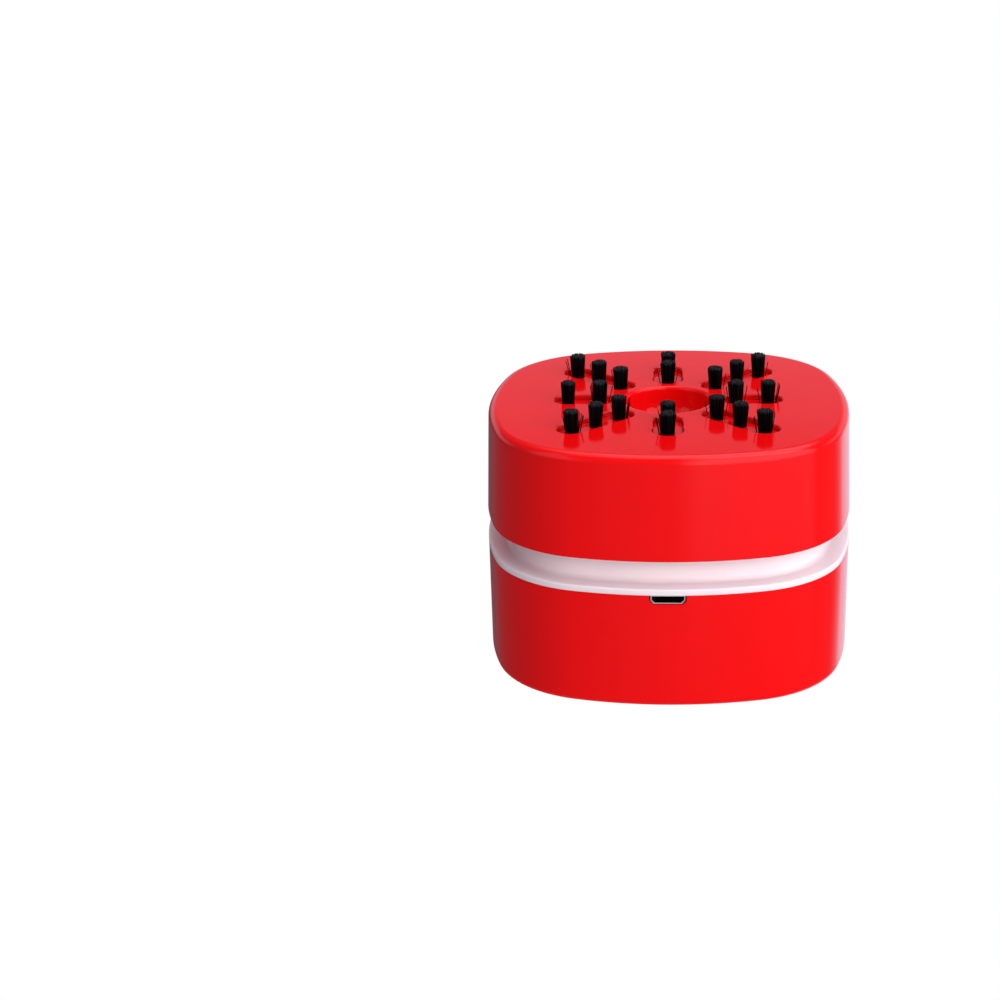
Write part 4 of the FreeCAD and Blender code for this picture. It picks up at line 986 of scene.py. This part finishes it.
def table_material():
    """Pale and matt from above, fading into the backdrop; clear from below.

    Every ray but the camera's passes through it.
    """
    material, nodes, surface = new_material("pale table")
    for socket, value in {
        "Base Color": (0.5, 0.5, 0.5, 1), "Roughness": 0.9,
        "Emission Color": (1, 1, 1, 1), "Emission Strength": 0.42,
    }.items():
        surface.inputs[socket].default_value = value
    clear = add_node(nodes, "ShaderNodeBsdfTransparent").outputs[0]
    seen = add_node(nodes, "ShaderNodeLightPath").outputs["Is Camera Ray"]
    behind = add_node(nodes, "ShaderNodeNewGeometry").outputs["Backfacing"]
    position = add_node(nodes, "ShaderNodeTexCoord").outputs["Object"]
    away = add_node(nodes, "ShaderNodeVectorMath", {0: position}, operation="LENGTH").outputs[1]
    solid = times(nodes, seen, calc(nodes, "SUBTRACT", 1, behind))
    solid = times(nodes, solid, ramp(nodes, away, 0.45, 0.12))
    mixed = add_node(nodes, "ShaderNodeMixShader", {0: solid, 1: clear, 2: surface.outputs[0]})
    nodes.links.new(mixed.outputs[0], nodes.nodes["Material Output"].inputs["Surface"])
    return material


table = new_piece("table", [(-1, -1, 0), (1, -1, 0), (1, 1, 0), (-1, 1, 0)], (), [(0, 1, 2, 3)])
table.data.materials.append(table_material())


def studio_world():
    """White to the camera; to the object a dim room with pale cards round it.

    One card is low behind it, and the face mirrors it; one is above the face and two stand
    beside the camera, and they give the soft lines along the rounded edges. The white
    backdrop itself shows in clear plastic, and in walls that turn away towards it.
    """
    world = bpy.data.worlds.new("studio")
    world.use_nodes = True
    sky = world.node_tree
    rays = add_node(sky, "ShaderNodeLightPath").outputs
    direction = add_node(sky, "ShaderNodeTexCoord").outputs["Generated"]
    axes = dict(zip("xyz", add_node(sky, "ShaderNodeSeparateXYZ", {0: direction}).outputs))

    def card(gain, *edges):
        for axis, start, end in edges:
            gain = times(sky, gain, ramp(sky, axes[axis], start, end))
        return gain

    level = 0.1
    for pale in (
        card(0.42, ("y", 0.1, 0.5), ("z", -0.39, -0.17), ("z", 0.05, -0.05)),
        card(1.1, ("z", -0.6, -0.8), ("y", -0.35, -0.1), ("x", 0.45, 0.0)),
        card(0.9, ("y", 0.1, -0.1), ("x", -0.02, -0.2), ("z", 0.5, -0.15)),
        card(0.4, ("y", 0.0, -0.3), ("x", 0.4, 0.6), ("z", 0.0, -0.2)),
    ):
        level = calc(sky, "ADD", level, pale)
    backdrop = card(
        0.82, ("y", 0.1, 0.5), ("x", 0.06, -0.15), ("x", -0.8, -0.33), ("z", -0.05, 0.15))
    mirrored = times(sky, rays["Is Glossy Ray"], backdrop)
    seen = calc(sky, "MAXIMUM", rays["Is Camera Ray"], rays["Is Transmission Ray"])
    shown = calc(sky, "MAXIMUM", seen, mirrored)
    tint = add_node(sky, "ShaderNodeMix", {
        "Factor": seen, 6: (0.95, 0.97, 1.15, 1), 7: (1, 1, 1, 1)}, data_type="RGBA").outputs[2]
    strength = add_node(sky, "ShaderNodeMix", {"Factor": shown, 2: level, 3: 1.0}).outputs[0]
    sky.links.new(strength, sky.nodes["Background"].inputs["Strength"])
    sky.links.new(tint, sky.nodes["Background"].inputs["Color"])
    return world


LAMP_AIM = Vector((0, 0, 0.035))


def softbox(name, direction, distance, wide, high, level):
    """A large lamp; level is how bright it makes a white card that faces it at the object.

    Gloss mirrors the cards and not the lamps, so it shows no hard-edged lamp.
    """
    lamp = bpy.data.lights.new(name, "AREA")
    lamp.shape = "RECTANGLE"
    lamp.size, lamp.size_y = wide, high
    lamp.energy = level * math.pi ** 2 * (distance ** 2 + wide * high / math.pi)
    holder = bpy.data.objects.new(name, lamp)
    holder.visible_glossy = False
    away = Vector(direction).normalized()
    holder.location = LAMP_AIM + away * distance
    holder.rotation_euler = away.to_track_quat("Z", "Y").to_euler()
    bpy.context.scene.collection.objects.link(holder)


bpy.context.scene.world = studio_world()
softbox("right key", (-0.66, -0.66, -0.3), 1.2, 1.9, 1.25, 0.66)
softbox("left fill", (0.62, -0.75, -0.22), 0.9, 0.6, 0.6, 0.02)
softbox("front fill", (0.05, -1.0, 0.15), 0.9, 0.6, 0.6, 0.11)
softbox("top light", (-0.1, 0.25, -0.96), 1.2, 1.9, 1.9, 0.34)
softbox("ceiling light", (0.1, -0.1, 1.0), 0.8, 0.7, 0.7, 0.5)
softbox("back light", (0.3, 0.45, 0.85), 0.9, 0.6, 0.6, 0.5)

AIM = Vector((0, 0, 0.03685))
DISTANCE, ELEVATION = 0.562, math.radians(20.76)
TURN_SIDEWAYS, TURN_UPWARD = math.radians(-4.08), math.radians(-0.68)
camera_data = bpy.data.cameras.new("camera")
camera_data.lens = 84.74
camera_data.clip_start = 0.01
camera = bpy.data.objects.new("camera", camera_data)
bpy.context.scene.collection.objects.link(camera)
bpy.context.scene.camera = camera
camera_spot = AIM - DISTANCE * Vector((0, math.cos(ELEVATION), math.sin(ELEVATION)))
facing = (AIM - camera_spot).to_track_quat("-Z", "Y").to_matrix()
upside_down = Matrix.Rotation(math.pi, 3, "Z")
aside = Matrix.Rotation(TURN_SIDEWAYS, 3, "Y") @ Matrix.Rotation(TURN_UPWARD, 3, "X")
turned_view = facing @ upside_down @ aside.inverted()
camera.matrix_world = Matrix.Translation(camera_spot) @ turned_view.to_4x4()

bpy.context.scene.view_settings.view_transform = "Standard"
